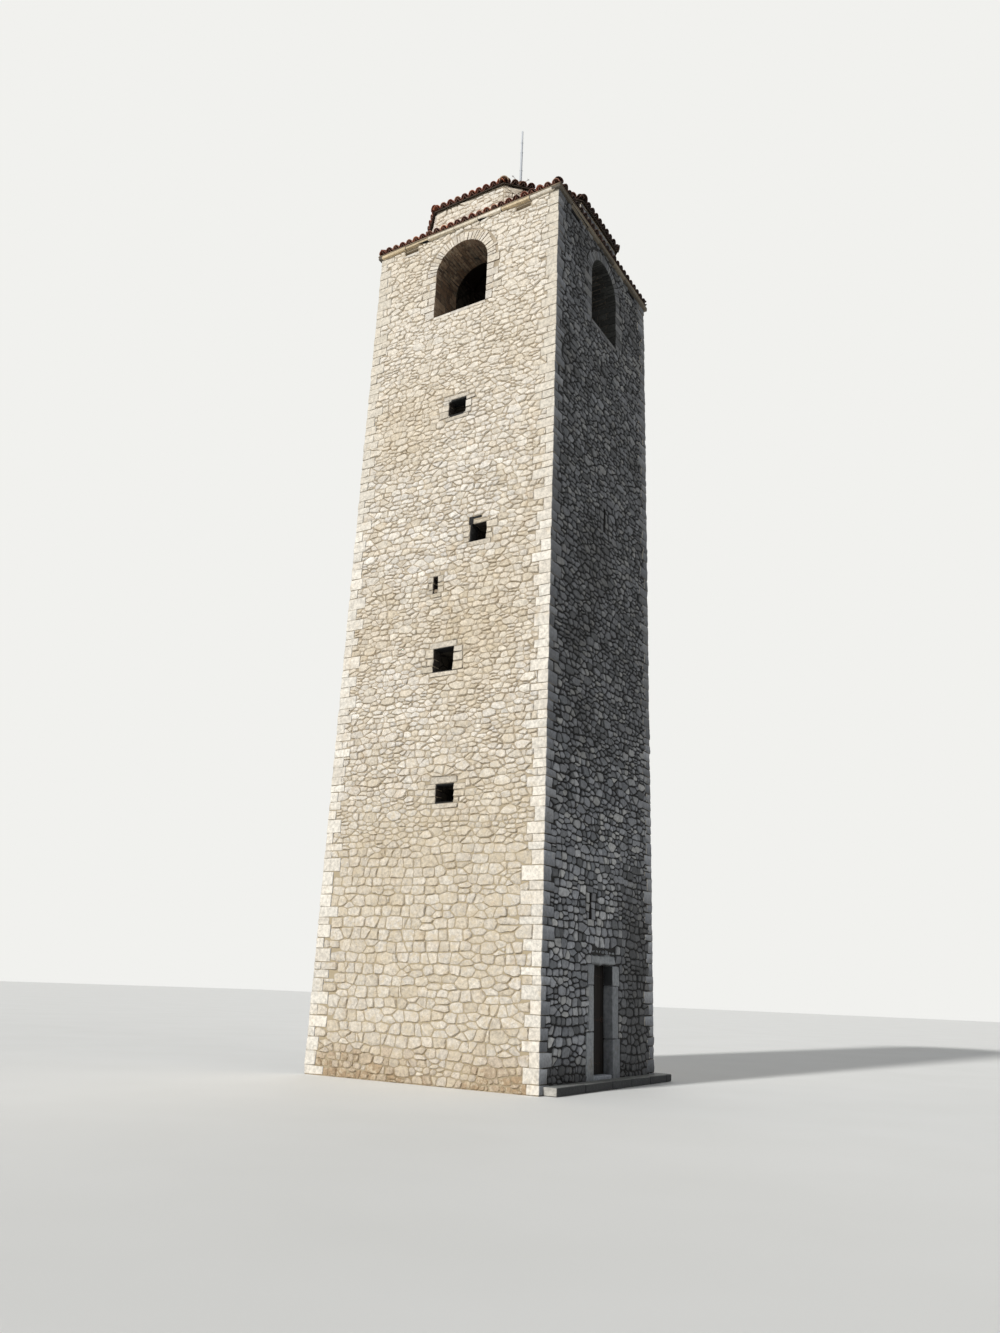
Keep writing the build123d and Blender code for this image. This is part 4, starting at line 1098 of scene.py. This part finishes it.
def stand_on_points(pattern, given, result, shape, material):
    """Stands the shape on every point with the point's own turn and stretch, as real mesh."""
    turn, stretch = (add(pattern, "GeometryNodeInputNamedAttribute", {"Name": label},
                         data_type="FLOAT_VECTOR") for label in ("turn", "stretch"))
    stood = add(pattern, "GeometryNodeInstanceOnPoints", {
        "Points": given.outputs["Geometry"], "Instance": shape, "Rotation": turn, "Scale": stretch})
    real = add(pattern, "GeometryNodeRealizeInstances", {"Geometry": stood})
    finished = add(pattern, "GeometryNodeSetMaterial", {"Geometry": real, "Material": material})
    fill(result, {0: finished})


def grow(cloud, pattern, sizes, body="tower"):
    """Runs a pattern on a cloud of points and keeps the result as a plain mesh."""
    modifier = cloud.modifiers.new("pattern", "NODES")
    modifier.node_group = pattern
    for item in pattern.interface.items_tree:
        if item.item_type == "SOCKET" and item.in_out == "INPUT" and item.name in sizes:
            modifier[item.identifier] = sizes[item.name]
    shaped = cloud.evaluated_get(bpy.context.evaluated_depsgraph_get())
    mesh = bpy.data.meshes.new_from_object(shaped)
    cloud.modifiers.remove(modifier)
    cloud.data = mesh
    mesh.shade_smooth()
    mesh.set_sharp_from_angle(angle=math.radians(40))
    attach(cloud, body)


# Forged nails through the planks into the ledges, with five-sided rose heads.
NAIL_SIZES = {"Head Radius": 0.011, "Head Height": 0.0045, "Sides": 5}
nail_pattern, given, result = new_pattern("rose_head_nails", NAIL_SIZES)
head = add(nail_pattern, "GeometryNodeMeshCone", {
    "Vertices": given.outputs["Sides"], "Radius Bottom": given.outputs["Head Radius"],
    "Depth": given.outputs["Head Height"]})
tip = add(nail_pattern, "Math", {0: given.outputs["Head Radius"], 1: 0.25}, operation="MULTIPLY")
fill(head, {"Radius Top": tip})
stand_on_points(nail_pattern, given, result, head, forged_iron)
nails = []
for number in range(PLANK_COUNT):
    middle = LEAF_LEFT + (number + 0.5) * plank_width
    for level in LEDGE_LEVELS:
        for side_step in (-0.04, 0.04):
            x = middle + side_step + draw(-0.005, 0.005)
            if DOOR_LEFT + 0.02 < x < DOOR_RIGHT - 0.02:
                nails.append(((x, LEAF_FACE_Y, level + draw(-0.02, 0.02)), (math.pi / 2, draw(0, 6), 0),
                              (1, 1, 1), IRON_SCALE))
grow(cloud_of("door_nails", nails), nail_pattern, NAIL_SIZES, body="door")

# Floors.
# Pine boards about 0.2 m wide nailed over the joists, with an open hatch at one end of each floor. The
# ground floor is laid in limestone flags.
HATCH, HATCH_EDGE = 0.750, 0.120
BOARD_WIDTHS, BOARD_JOINT = (0.17, 0.24), 0.003
BOARD_TINTS = ("#8A7358", "#7B664E", "#947D61", "#6C5943")

pine_boards = timber("weathered_pine_boards", "y", "#A08A6B", "#5E4D3A", True)
pine_joists = timber("weathered_pine_joists", "x", "#8F7A5E", "#54442F", False)
# The roof timbers are painted dark with the shade under the eaves, where alone they show.
pine_rafters = timber("roof_pine", "z", "#4F4437", "#2C241C", False)
finish_node("floor_joists", pine_joists)
finish_node("door_inner_lintel", pine_joists)
for name in ("drum_roof_boards", "hip_rafters", "king_post"):
    finish_node(name, pine_rafters)

for number, node in enumerate(("floor_1_boards", "floor_2_boards", "floor_3_boards", "floor_4_boards",
                               "belfry_floor_boards")):
    low_corner, high_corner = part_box(node)
    half_x, half_y = high_corner.x, high_corner.y
    end = -1 if number % 2 else 1
    far = half_y - HATCH_EDGE
    floor = Pile(lambda points, end=end: points * (end, end, 1))
    for start, stop, lengths in ((-half_x, half_x - HATCH, [(-half_y, half_y)]),
                                 (half_x - HATCH, half_x, [(-half_y, far - HATCH), (far, half_y)])):
        for low, high in spans(start, stop, *BOARD_WIDTHS):
            for foot, head in lengths:
                lay_block(floor, (low + BOARD_JOINT, foot, low_corner.z),
                          (high - BOARD_JOINT, head, high_corner.z),
                          linear(chance.choice(BOARD_TINTS)), 0.003, 0.0008)
    floor.build(node.replace("_boards", "_laid_boards"), pine_boards, "floor_timber", replaces=(node,))

# Flags: sawn limestone 0.6 by 0.4 m, dull and dusty, with sunk joints.
flagstones, tree, shader, where = new_material("limestone_flags", {"Roughness": 0.75})
laid = add(tree, "TexBrick", {
    "Vector": where, "Color1": linear("#B9B1A0"), "Color2": linear("#A39B8A"), "Mortar": linear("#6E675B"),
    "Scale": 1.0, "Mortar Size": 0.008, "Brick Width": 0.6, "Row Height": 0.4}, offset=0.4)
dust = add(tree, "TexNoise", {"Vector": where, "Scale": 1 / 0.2, "Detail": 6.0})
dusty = add(tree, "MapRange", {0: dust, 1: 0.3, 2: 0.7, 3: 0.8, 4: 1.08})
tone = add(tree, "VectorMath", {0: laid, 3: dusty}, operation="SCALE")
sunk = add(tree, "Math", {0: 1.0, 1: laid.outputs["Fac"]}, operation="SUBTRACT")
joints = add(tree, "Bump", {"Strength": 0.8, "Distance": 0.005, "Height": sunk})
fill(shader, {"Base Color": tone, "Normal": joints})
finish_node("ground_floor", flagstones)

# Cornice.
# Thin limestone slabs laid flat on the wall top, reaching 70 mm out, chipped along the edge and stained
# ochre by the tiles above them.
CORNICE_REACH, CORNICE_BACK, CORNICE_TOP = 0.070, -0.15, 18.720
SLAB_LENGTHS = (0.55, 0.85)
# On the shaded sides the slabs are painted dark with shade.
CORNICE_TINTS = {True: ("#DCD0B9", "#D2C2A2", "#E0D6C4", "#C9B695", "#D6C9B0"),
                 False: ("#726A5C", "#675F53", "#7D7465", "#5C554A")}
stained_limestone = limestone("ochre_stained_limestone", 0.016, 0.012, "#CDB690")
finish_node("cornice", stained_limestone)
for side in SIDES:
    slabs = Pile(on_side(side))
    # The slabs of the front and back run over the ends of the others.
    reach = side.half_across + CORNICE_REACH + (-0.10 if side.sunny else 0.010)
    for low, high in spans(-reach, reach, *SLAB_LENGTHS):
        proud = CORNICE_REACH + draw(0.004, 0.014)
        lay_block(slabs, (low + 0.003, WALL_TOP - draw(0.001, 0.009), CORNICE_BACK),
                  (high - 0.003, CORNICE_TOP + 0.002, proud), shade_of(CORNICE_TINTS[side.sunny]),
                  0.009, 0.004)
    slabs.build(f"{side.name}_cornice_slabs", stained_limestone, "cornice_stone")

# Drum.
# A low octagon of the same rubble, carried on squinches over the corners of the belfry.
DRUM_OUT, DRUM_TOP = 2.280, 19.500
DRUM_HALF_SIDE = DRUM_OUT * math.tan(math.pi / 8)
# The straight walls come first, and then the slanting ones on the squinches.
for number in (0, 2, 4, 6, 1, 3, 5, 7):
    turn = number * math.pi / 4

    def on_drum(points, turn=turn):
        across, z, out = points.T
        away = -(DRUM_OUT + out)
        return np.column_stack((across * math.cos(turn) - away * math.sin(turn),
                                across * math.sin(turn) + away * math.cos(turn), z))

    facing = Pile(on_drum)
    rows = seeds_between(-DRUM_HALF_SIDE, DRUM_HALF_SIDE, CORNICE_TOP, DRUM_TOP, 0, (1, 1))
    edges = [(-9, -DRUM_HALF_SIDE, 0, 99), (DRUM_HALF_SIDE, 9, 0, 99), (-9, 9, 0, CORNICE_TOP),
             (-9, 9, DRUM_TOP - 0.01, 99)]
    # The walls facing front and back take the shaded sides' stones, dark with painted shade.
    side = FRONT if number in (0, 4) else LEFT
    for outline, u, z in fit_stones(rows, edges, [], (0.004, 0.009)):
        proud = draw(0.012, 0.022)
        lay_stone(facing, worn(outline), proud * EDGE_PROUD, proud, rubble_tint(side, u, z))
    facing.build(f"drum_rubble_stones_{number}", RUBBLE[side.sunny], "rubble", sharp=32)

# Tiled roofs.
# Old barrel tiles of red clay: channel tiles laid hollow side up in mortar, and cover tiles over the
# gaps between them, overlapping up the slope. A skirt of them runs round the foot of the drum, and the
# drum has an eight-sided roof with a line of larger tiles on every hip.
ROOF_SLOPE = math.radians(22)
TILE_SIZES = {"Length": 0.42, "Wide Radius": 0.082, "Narrow Radius": 0.062, "Thickness": 0.014, "Sides": 7}
HIP_SIZES = {"Length": 0.42, "Wide Radius": 0.098, "Narrow Radius": 0.076, "Thickness": 0.016, "Sides": 8}
TILE_SPACING, TILE_SHOWN, TILE_LEAST = 0.200, 0.300, 0.05
SHORTEST_RUN = 0.10
TILE_TINTS = ("#A35F48", "#B36F52", "#8F523F", "#C08060", "#7F5142", "#6B483D", "#C2917A", "#9C7260")
CHANNEL_TINTS, PALE_TILE = ("#6B4638", "#5C3D32", "#7A5140"), linear("#B9A389")
CHANNEL_LIFT, COVER_LIFT = 0.078, 0.026
EAVE_SHADE, SHADY_EAVE, HALF_SHADY_EAVE = linear("#16110F"), 0.88, 0.65
TILE_REACH = 0.130
BED, BED_TINT = 0.030, linear("#8F8069")
EAVE_CUT, HIP_CUT = 0.050, 0.16

# Terracotta: matt fired clay, blotched light and dark and with grey lichen. At the shady eaves the tiles'
# own tints carry painted shade.
terracotta, tree, shader, where = new_material("weathered_terracotta", {"Roughness": 0.9})
own = add(tree, "Attribute", attribute_name="tint")
firing = add(tree, "TexNoise", {"Vector": where, "Scale": 1 / 0.06, "Detail": 6.0})
fired = add(tree, "MapRange", {0: firing, 1: 0.3, 2: 0.7, 3: 0.65, 4: 1.2})
tone = add(tree, "VectorMath", {0: own, 3: fired}, operation="SCALE")
growth = add(tree, "TexNoise", {"Vector": where, "Scale": 1 / 0.04, "Detail": 8.0, "Roughness": 0.7})
grown = add(tree, "MapRange", {0: growth, 1: 0.55, 2: 0.68, 3: 0.0, 4: 0.6})
tone = add(tree, "Mix", {0: grown, 6: tone, 7: linear("#8C8574")}, data_type="RGBA")
gritty = add(tree, "Bump", {"Strength": 0.6, "Distance": 0.003, "Height": growth})
fill(shader, {"Base Color": tone, "Normal": gritty})

bed_mortar = lime_mortar("roof_bed_mortar", "#8F8069", "#8F8069", "#5E5140", "#5E5140")

# A tapered half barrel. It starts at its wide end and lies along its own X, hollow side down.
tile_pattern, given, result = new_pattern("barrel_tiles", TILE_SIZES)
sheet = add(tile_pattern, "GeometryNodeMeshGrid", {
    "Size X": 1.0, "Size Y": 1.0, "Vertices X": 2, "Vertices Y": given.outputs["Sides"]})
spot = add(tile_pattern, "SeparateXYZ", {0: add(tile_pattern, "GeometryNodeInputPosition")})
share = add(tile_pattern, "Math", {0: spot.outputs["X"], 1: 0.5}, operation="ADD")
radius = add(tile_pattern, "MapRange", {
    0: share, 3: given.outputs["Wide Radius"], 4: given.outputs["Narrow Radius"]})
angle = add(tile_pattern, "Math", {0: spot.outputs["Y"], 1: math.pi}, operation="MULTIPLY")
sideways = add(tile_pattern, "Math", {0: angle}, operation="SINE")
upwards = add(tile_pattern, "Math", {0: angle}, operation="COSINE")
bent = add(tile_pattern, "CombineXYZ")
pairs = ((share, given.outputs["Length"]), (sideways, radius), (upwards, radius))
for axis, (first, second) in enumerate(pairs):
    fill(bent, {axis: add(tile_pattern, "Math", {0: first, 1: second}, operation="MULTIPLY")})
barrel = add(tile_pattern, "GeometryNodeSetPosition", {"Geometry": sheet, "Position": bent})
outer = add(tile_pattern, "GeometryNodeExtrudeMesh", {
    "Mesh": barrel, "Offset Scale": given.outputs["Thickness"], "Individual": False})
both = add(tile_pattern, "GeometryNodeJoinGeometry", {0: outer})
fill(both, {0: add(tile_pattern, "GeometryNodeFlipFaces", {"Mesh": barrel})})
closed = add(tile_pattern, "GeometryNodeMergeByDistance", {"Geometry": both, "Distance": 0.0002})
stand_on_points(tile_pattern, given, result, closed, terracotta)


def seat(origin, uphill, across, along, side_shift, lift, hollow_up, length, tint, tip=0.0, yaw=0.0):
    """The place of one tile on a slope: where its wide lower end lies and how it is turned."""
    normal = uphill.cross(across)
    if normal.z < 0:
        normal = -normal
    place = origin + uphill * along + across * side_shift + normal * lift
    forward = Matrix.Rotation(yaw, 3, normal) @ (Matrix.Rotation(tip, 3, across) @ uphill)
    top = -normal if hollow_up else normal
    sideways = top.cross(forward).normalized()
    top = forward.cross(sideways).normalized()
    turn = Matrix((forward, sideways, top)).transposed().to_euler()
    return tuple(place), tuple(turn), (length / TILE_SIZES["Length"], 1, 1), tint


def shaded_at_eave(tint, along, shade_share):
    """Tiles at a shady eave are darkened with painted shade, and those over them half as much."""
    return blend_colours(tint, EAVE_SHADE, shade_share * (1 if along < 0.2 else 0.5 if along < 0.5 else 0))


def tile_column(seats, origin, uphill, across, shift, run, reach, shade_share):
    """One line of channel tiles and the line of covers beside it, up a slope of the given length."""
    for hollow_up, offset, lift, tints in ((True, 0.5 * TILE_SPACING, CHANNEL_LIFT, CHANNEL_TINTS),
                                           (False, 0.0, COVER_LIFT, TILE_TINTS)):
        if abs(shift + offset) > reach:
            continue
        along = 0.0
        while along < run - TILE_LEAST:
            length = min(TILE_SIZES["Length"], run - along + 0.02)
            jolt = 0.05 if along == 0 else 0.025
            seats.append(seat(origin, uphill, across, along + draw(-0.012, 0.0) + 0.012,
                              shift + offset + draw(-0.008, 0.008), lift + draw(-0.003, 0.005), hollow_up,
                              length, shaded_at_eave(shade_of(tints, 0.12), along, shade_share),
                              tip=draw(-0.02, 0.02), yaw=draw(-jolt, jolt)))
            along += TILE_SHOWN


def hip_line(seats, origin, uphill, across, along, run, lift, most, tips, shade_share, pale=False):
    """A line of cover tiles up a hip. The first of the line may be a pale one that has slipped."""
    while along < run - TILE_LEAST:
        slipped = pale and along == 0
        seats.append(seat(origin, uphill, across, along, draw(-0.01, 0.01), lift + draw(0, most), False,
                          min(TILE_SIZES["Length"], run - along),
                          PALE_TILE if slipped else shaded_at_eave(shade_of(TILE_TINTS, 0.12), along, shade_share),
                          tip=-0.10 if slipped else draw(*tips), yaw=draw(-0.03, 0.03)))
        along += TILE_SHOWN


def faces_of_prism(rings):
    """Quads between closed rings of equal length, with the last ring joined to the first."""
    count = len(rings[0])
    faces = []
    for ring in range(len(rings)):
        for i in range(count):
            j = (i + 1) % count
            a, b = ring * count, (ring + 1) % len(rings) * count
            faces.append([a + i, a + j, b + j, b + i])
    return faces


# Mortar bed of the skirt: its top follows the slope in from the cornice to the drum.
BED_INSET, INTO_DRUM = 0.05, 0.03
eave_x, eave_y = TOP_WIDTH / 2 + TILE_REACH - BED_INSET, TOP_DEPTH / 2 + TILE_REACH - BED_INSET
rise = math.tan(ROOF_SLOPE)
hip = (eave_x + eave_y - (DRUM_OUT - INTO_DRUM) * math.sqrt(2)) / 2
outer, inner = [], []
CORNERS = ((1, 1), (-1, 1), (-1, -1), (1, -1))
for sign_x, sign_y in CORNERS:
    beside_x = (sign_x * (DRUM_OUT - INTO_DRUM), sign_y * DRUM_HALF_SIDE, eave_x - DRUM_OUT + INTO_DRUM)
    beside_y = (sign_x * DRUM_HALF_SIDE, sign_y * (DRUM_OUT - INTO_DRUM), eave_y - DRUM_OUT + INTO_DRUM)
    order = sign_x * sign_y
    inner += [beside_x, (sign_x * (eave_x - hip), sign_y * (eave_y - hip), hip), beside_y][::order]
    outer += [(sign_x * eave_x, beside_x[1], 0), (sign_x * eave_x, sign_y * eave_y, 0),
              (beside_y[0], sign_y * eave_y, 0)][::order]
rings = [[(x, y, CORNICE_TOP + height + t * slope) for x, y, t in ring]
         for ring, height, slope in ((outer, 0.001, 0), (outer, BED, 0), (inner, BED, rise),
                                     (inner, 0.001, 0))]
lower_bed = Pile(lambda points: points)
lower_bed.add(sum(rings, []), faces_of_prism(rings), BED_TINT)
lower_bed.build("lower_roof_mortar_bed", bed_mortar, "roof_tile", replaces=("lower_roof",))


def slope_axes(turn):
    """How a slope is turned, and the ways up and across it."""
    spin = Matrix.Rotation(turn, 3, "Z")
    return spin, spin @ Vector((0, math.cos(ROOF_SLOPE), math.sin(ROOF_SLOPE))), spin @ Vector((1, 0, 0))


lower_seats = []
for side in SIDES:
    spin, uphill, across = slope_axes(side.turns * math.pi / 2)
    away, span = side.half_away + TILE_REACH, side.half_across + TILE_REACH
    origin = spin @ Vector((0, -away + EAVE_CUT, CORNICE_TOP + BED))
    columns = int(2 * (span - 0.10) / TILE_SPACING)
    for number in range(columns + 1):
        shift = (number - columns / 2) * TILE_SPACING
        beside_hip = abs(shift) >= DRUM_HALF_SIDE
        to_drum = away + abs(shift) - DRUM_OUT * math.sqrt(2) if beside_hip else away - DRUM_OUT
        run = min(span - abs(shift), to_drum) / math.cos(ROOF_SLOPE)
        if run > SHORTEST_RUN:
            tile_column(lower_seats, origin, uphill, across, shift, run - 0.01, span - 0.11,
                        0 if side.sunny else SHADY_EAVE)
grow(cloud_of("lower_roof_tiles", lower_seats), tile_pattern, TILE_SIZES)

lower_hips = []
for sign_x, sign_y in CORNERS:
    start = Vector((sign_x * (TOP_WIDTH / 2 + TILE_REACH), sign_y * (TOP_DEPTH / 2 + TILE_REACH),
                    CORNICE_TOP + BED))
    flat = Vector((-sign_x, -sign_y, 0)).normalized()
    uphill = (flat + Vector((0, 0, rise / math.sqrt(2)))).normalized()
    hip_line(lower_hips, start, uphill, flat.cross(Vector((0, 0, 1))), HIP_CUT,
             (start.xy.length - DRUM_OUT) / flat.dot(uphill), 0.035, 0.01, (-0.02, 0.03),
             SHADY_EAVE if sign_y < 0 else 0)
grow(cloud_of("lower_roof_hip_tiles", lower_hips), tile_pattern, HIP_SIZES)

# Roof of the drum: eight mortared slopes that rise to a small cap round the mast.
DRUM_EAVE, CAP_HALF, BOARD_THICKNESS, UPPER_INSET = 2.350, 0.120, 0.025, 0.045
BOARDS_TOP = DRUM_TOP + BOARD_THICKNESS / math.cos(ROOF_SLOPE)
cap_level = BOARDS_TOP + (DRUM_EAVE - CAP_HALF) * rise
bend = 1 / math.cos(math.pi / 8)
rings = []
for flat, level in ((DRUM_EAVE - UPPER_INSET, BOARDS_TOP + UPPER_INSET * rise - 0.004),
                    (DRUM_EAVE - UPPER_INSET, BOARDS_TOP + BED),
                    (CAP_HALF, cap_level + BED - UPPER_INSET * rise), (CAP_HALF, cap_level - 0.004)):
    turns = [math.pi * (2 * i + 1) / 8 for i in range(8)]
    rings.append([(flat * bend * math.cos(turn), flat * bend * math.sin(turn), level) for turn in turns])
upper_bed = Pile(lambda points: points)
upper_bed.add(sum(rings, []), faces_of_prism(rings), BED_TINT)
upper_bed.build("drum_roof_mortar_bed", bed_mortar, "roof_tile", replaces=("drum_roof_tiles",))

# How much painted shade darkens the eave of each slope, counted from the front by way of the right.
UPPER_EAVE_SHADE = {0: SHADY_EAVE, 1: SHADY_EAVE, 3: HALF_SHADY_EAVE, 4: SHADY_EAVE, 7: HALF_SHADY_EAVE}
upper_seats, upper_hips = [], []
half_eave = DRUM_EAVE * math.tan(math.pi / 8)
EAVE_DROP = 0.065
for number in range(8):
    spin, uphill, across = slope_axes(number * math.pi / 4)
    origin = spin @ Vector((0, -DRUM_EAVE - 0.020, BOARDS_TOP + BED - EAVE_DROP * rise))
    columns = int(2 * (half_eave - 0.06) / TILE_SPACING)
    for column in range(columns + 1):
        shift = (column - columns / 2) * TILE_SPACING
        run = (DRUM_EAVE - max(CAP_HALF, abs(shift) / math.tan(math.pi / 8))) / math.cos(ROOF_SLOPE)
        if run > SHORTEST_RUN:
            tile_column(upper_seats, origin, uphill, across, shift, run, half_eave,
                        UPPER_EAVE_SHADE.get(number, 0))
    turn = (number + 0.5) * math.pi / 4 - math.pi / 2
    flat = Vector((-math.cos(turn), -math.sin(turn), 0))
    start = -flat * (DRUM_EAVE * bend + 0.015) + Vector((0, 0, BOARDS_TOP + BED - EAVE_DROP * rise))
    uphill = (flat + Vector((0, 0, rise / bend))).normalized()
    hip_line(upper_hips, start, uphill, flat.cross(Vector((0, 0, 1))), 0.0,
             (DRUM_EAVE - CAP_HALF) * bend / flat.dot(uphill), 0.03, 0.012, (-0.03, 0.02),
             UPPER_EAVE_SHADE.get(number, 0), pale=number == 6)
grow(cloud_of("drum_roof_barrel_tiles", upper_seats), tile_pattern, TILE_SIZES)
grow(cloud_of("drum_roof_hip_tiles", upper_hips), tile_pattern, HIP_SIZES)

# Mast.
# A pole of three stepped steel tubes painted light grey, set in a cone of mortar on top of the roof. A
# collar low down carries two thin iron arms.
MAST_JOINTS, MAST_RADIUS, MAST_STEP = (22.350, 22.950, 23.280), 0.033, 0.003

mast_paint, tree, shader, where = new_material("weathered_grey_paint", {"Roughness": 0.45})
fade = add(tree, "Mapping", {0: where, 3: (20, 20, 1.5)})
streaks = add(tree, "TexNoise", {"Vector": fade, "Scale": 1.0, "Detail": 6.0})
faded = add(tree, "MapRange", {0: streaks, 1: 0.35, 2: 0.65})
tone = add(tree, "Mix", {0: faded, 6: linear("#A9ADB2"), 7: linear("#CDD0D3")}, data_type="RGBA")
fill(shader, {"Base Color": tone})
for name in ("mast_lower", "mast_upper"):
    finish_node(name, mast_paint)
finish_node("mast_arms", forged_iron)


def turned_shape(name, profile, sides, material, slot):
    """A closed ring or cone turned about the tower's middle from (radius, height) points."""
    turns = [2 * math.pi * i / sides for i in range(sides)]
    rings = [[(radius * math.cos(turn), radius * math.sin(turn), level) for radius, level in profile]
             for turn in turns]
    shape = Pile(lambda points: points, mirrored=True)
    shape.add(sum(rings, []), faces_of_prism(rings), BED_TINT)
    shape.build(name, material, slot)


for number, level in enumerate(MAST_JOINTS):
    radius = MAST_RADIUS - MAST_STEP * number
    turned_shape(f"mast_collar_{number + 1}", (
        (radius - 0.002, level - 0.030), (radius + 0.004, level - 0.028), (radius + 0.006, level - 0.010),
        (radius + 0.002, level + 0.004), (radius - 0.006, level + 0.004)), 20, mast_paint, "mast_paint")
turned_shape("roof_cap_mortar", (
    (MAST_RADIUS - 0.002, cap_level), (0.235, cap_level - 0.02), (0.225, cap_level + 0.075),
    (0.15, cap_level + 0.125), (0.07, cap_level + 0.175), (MAST_RADIUS - 0.002, cap_level + 0.20)),
    16, bed_mortar, "roof_tile")
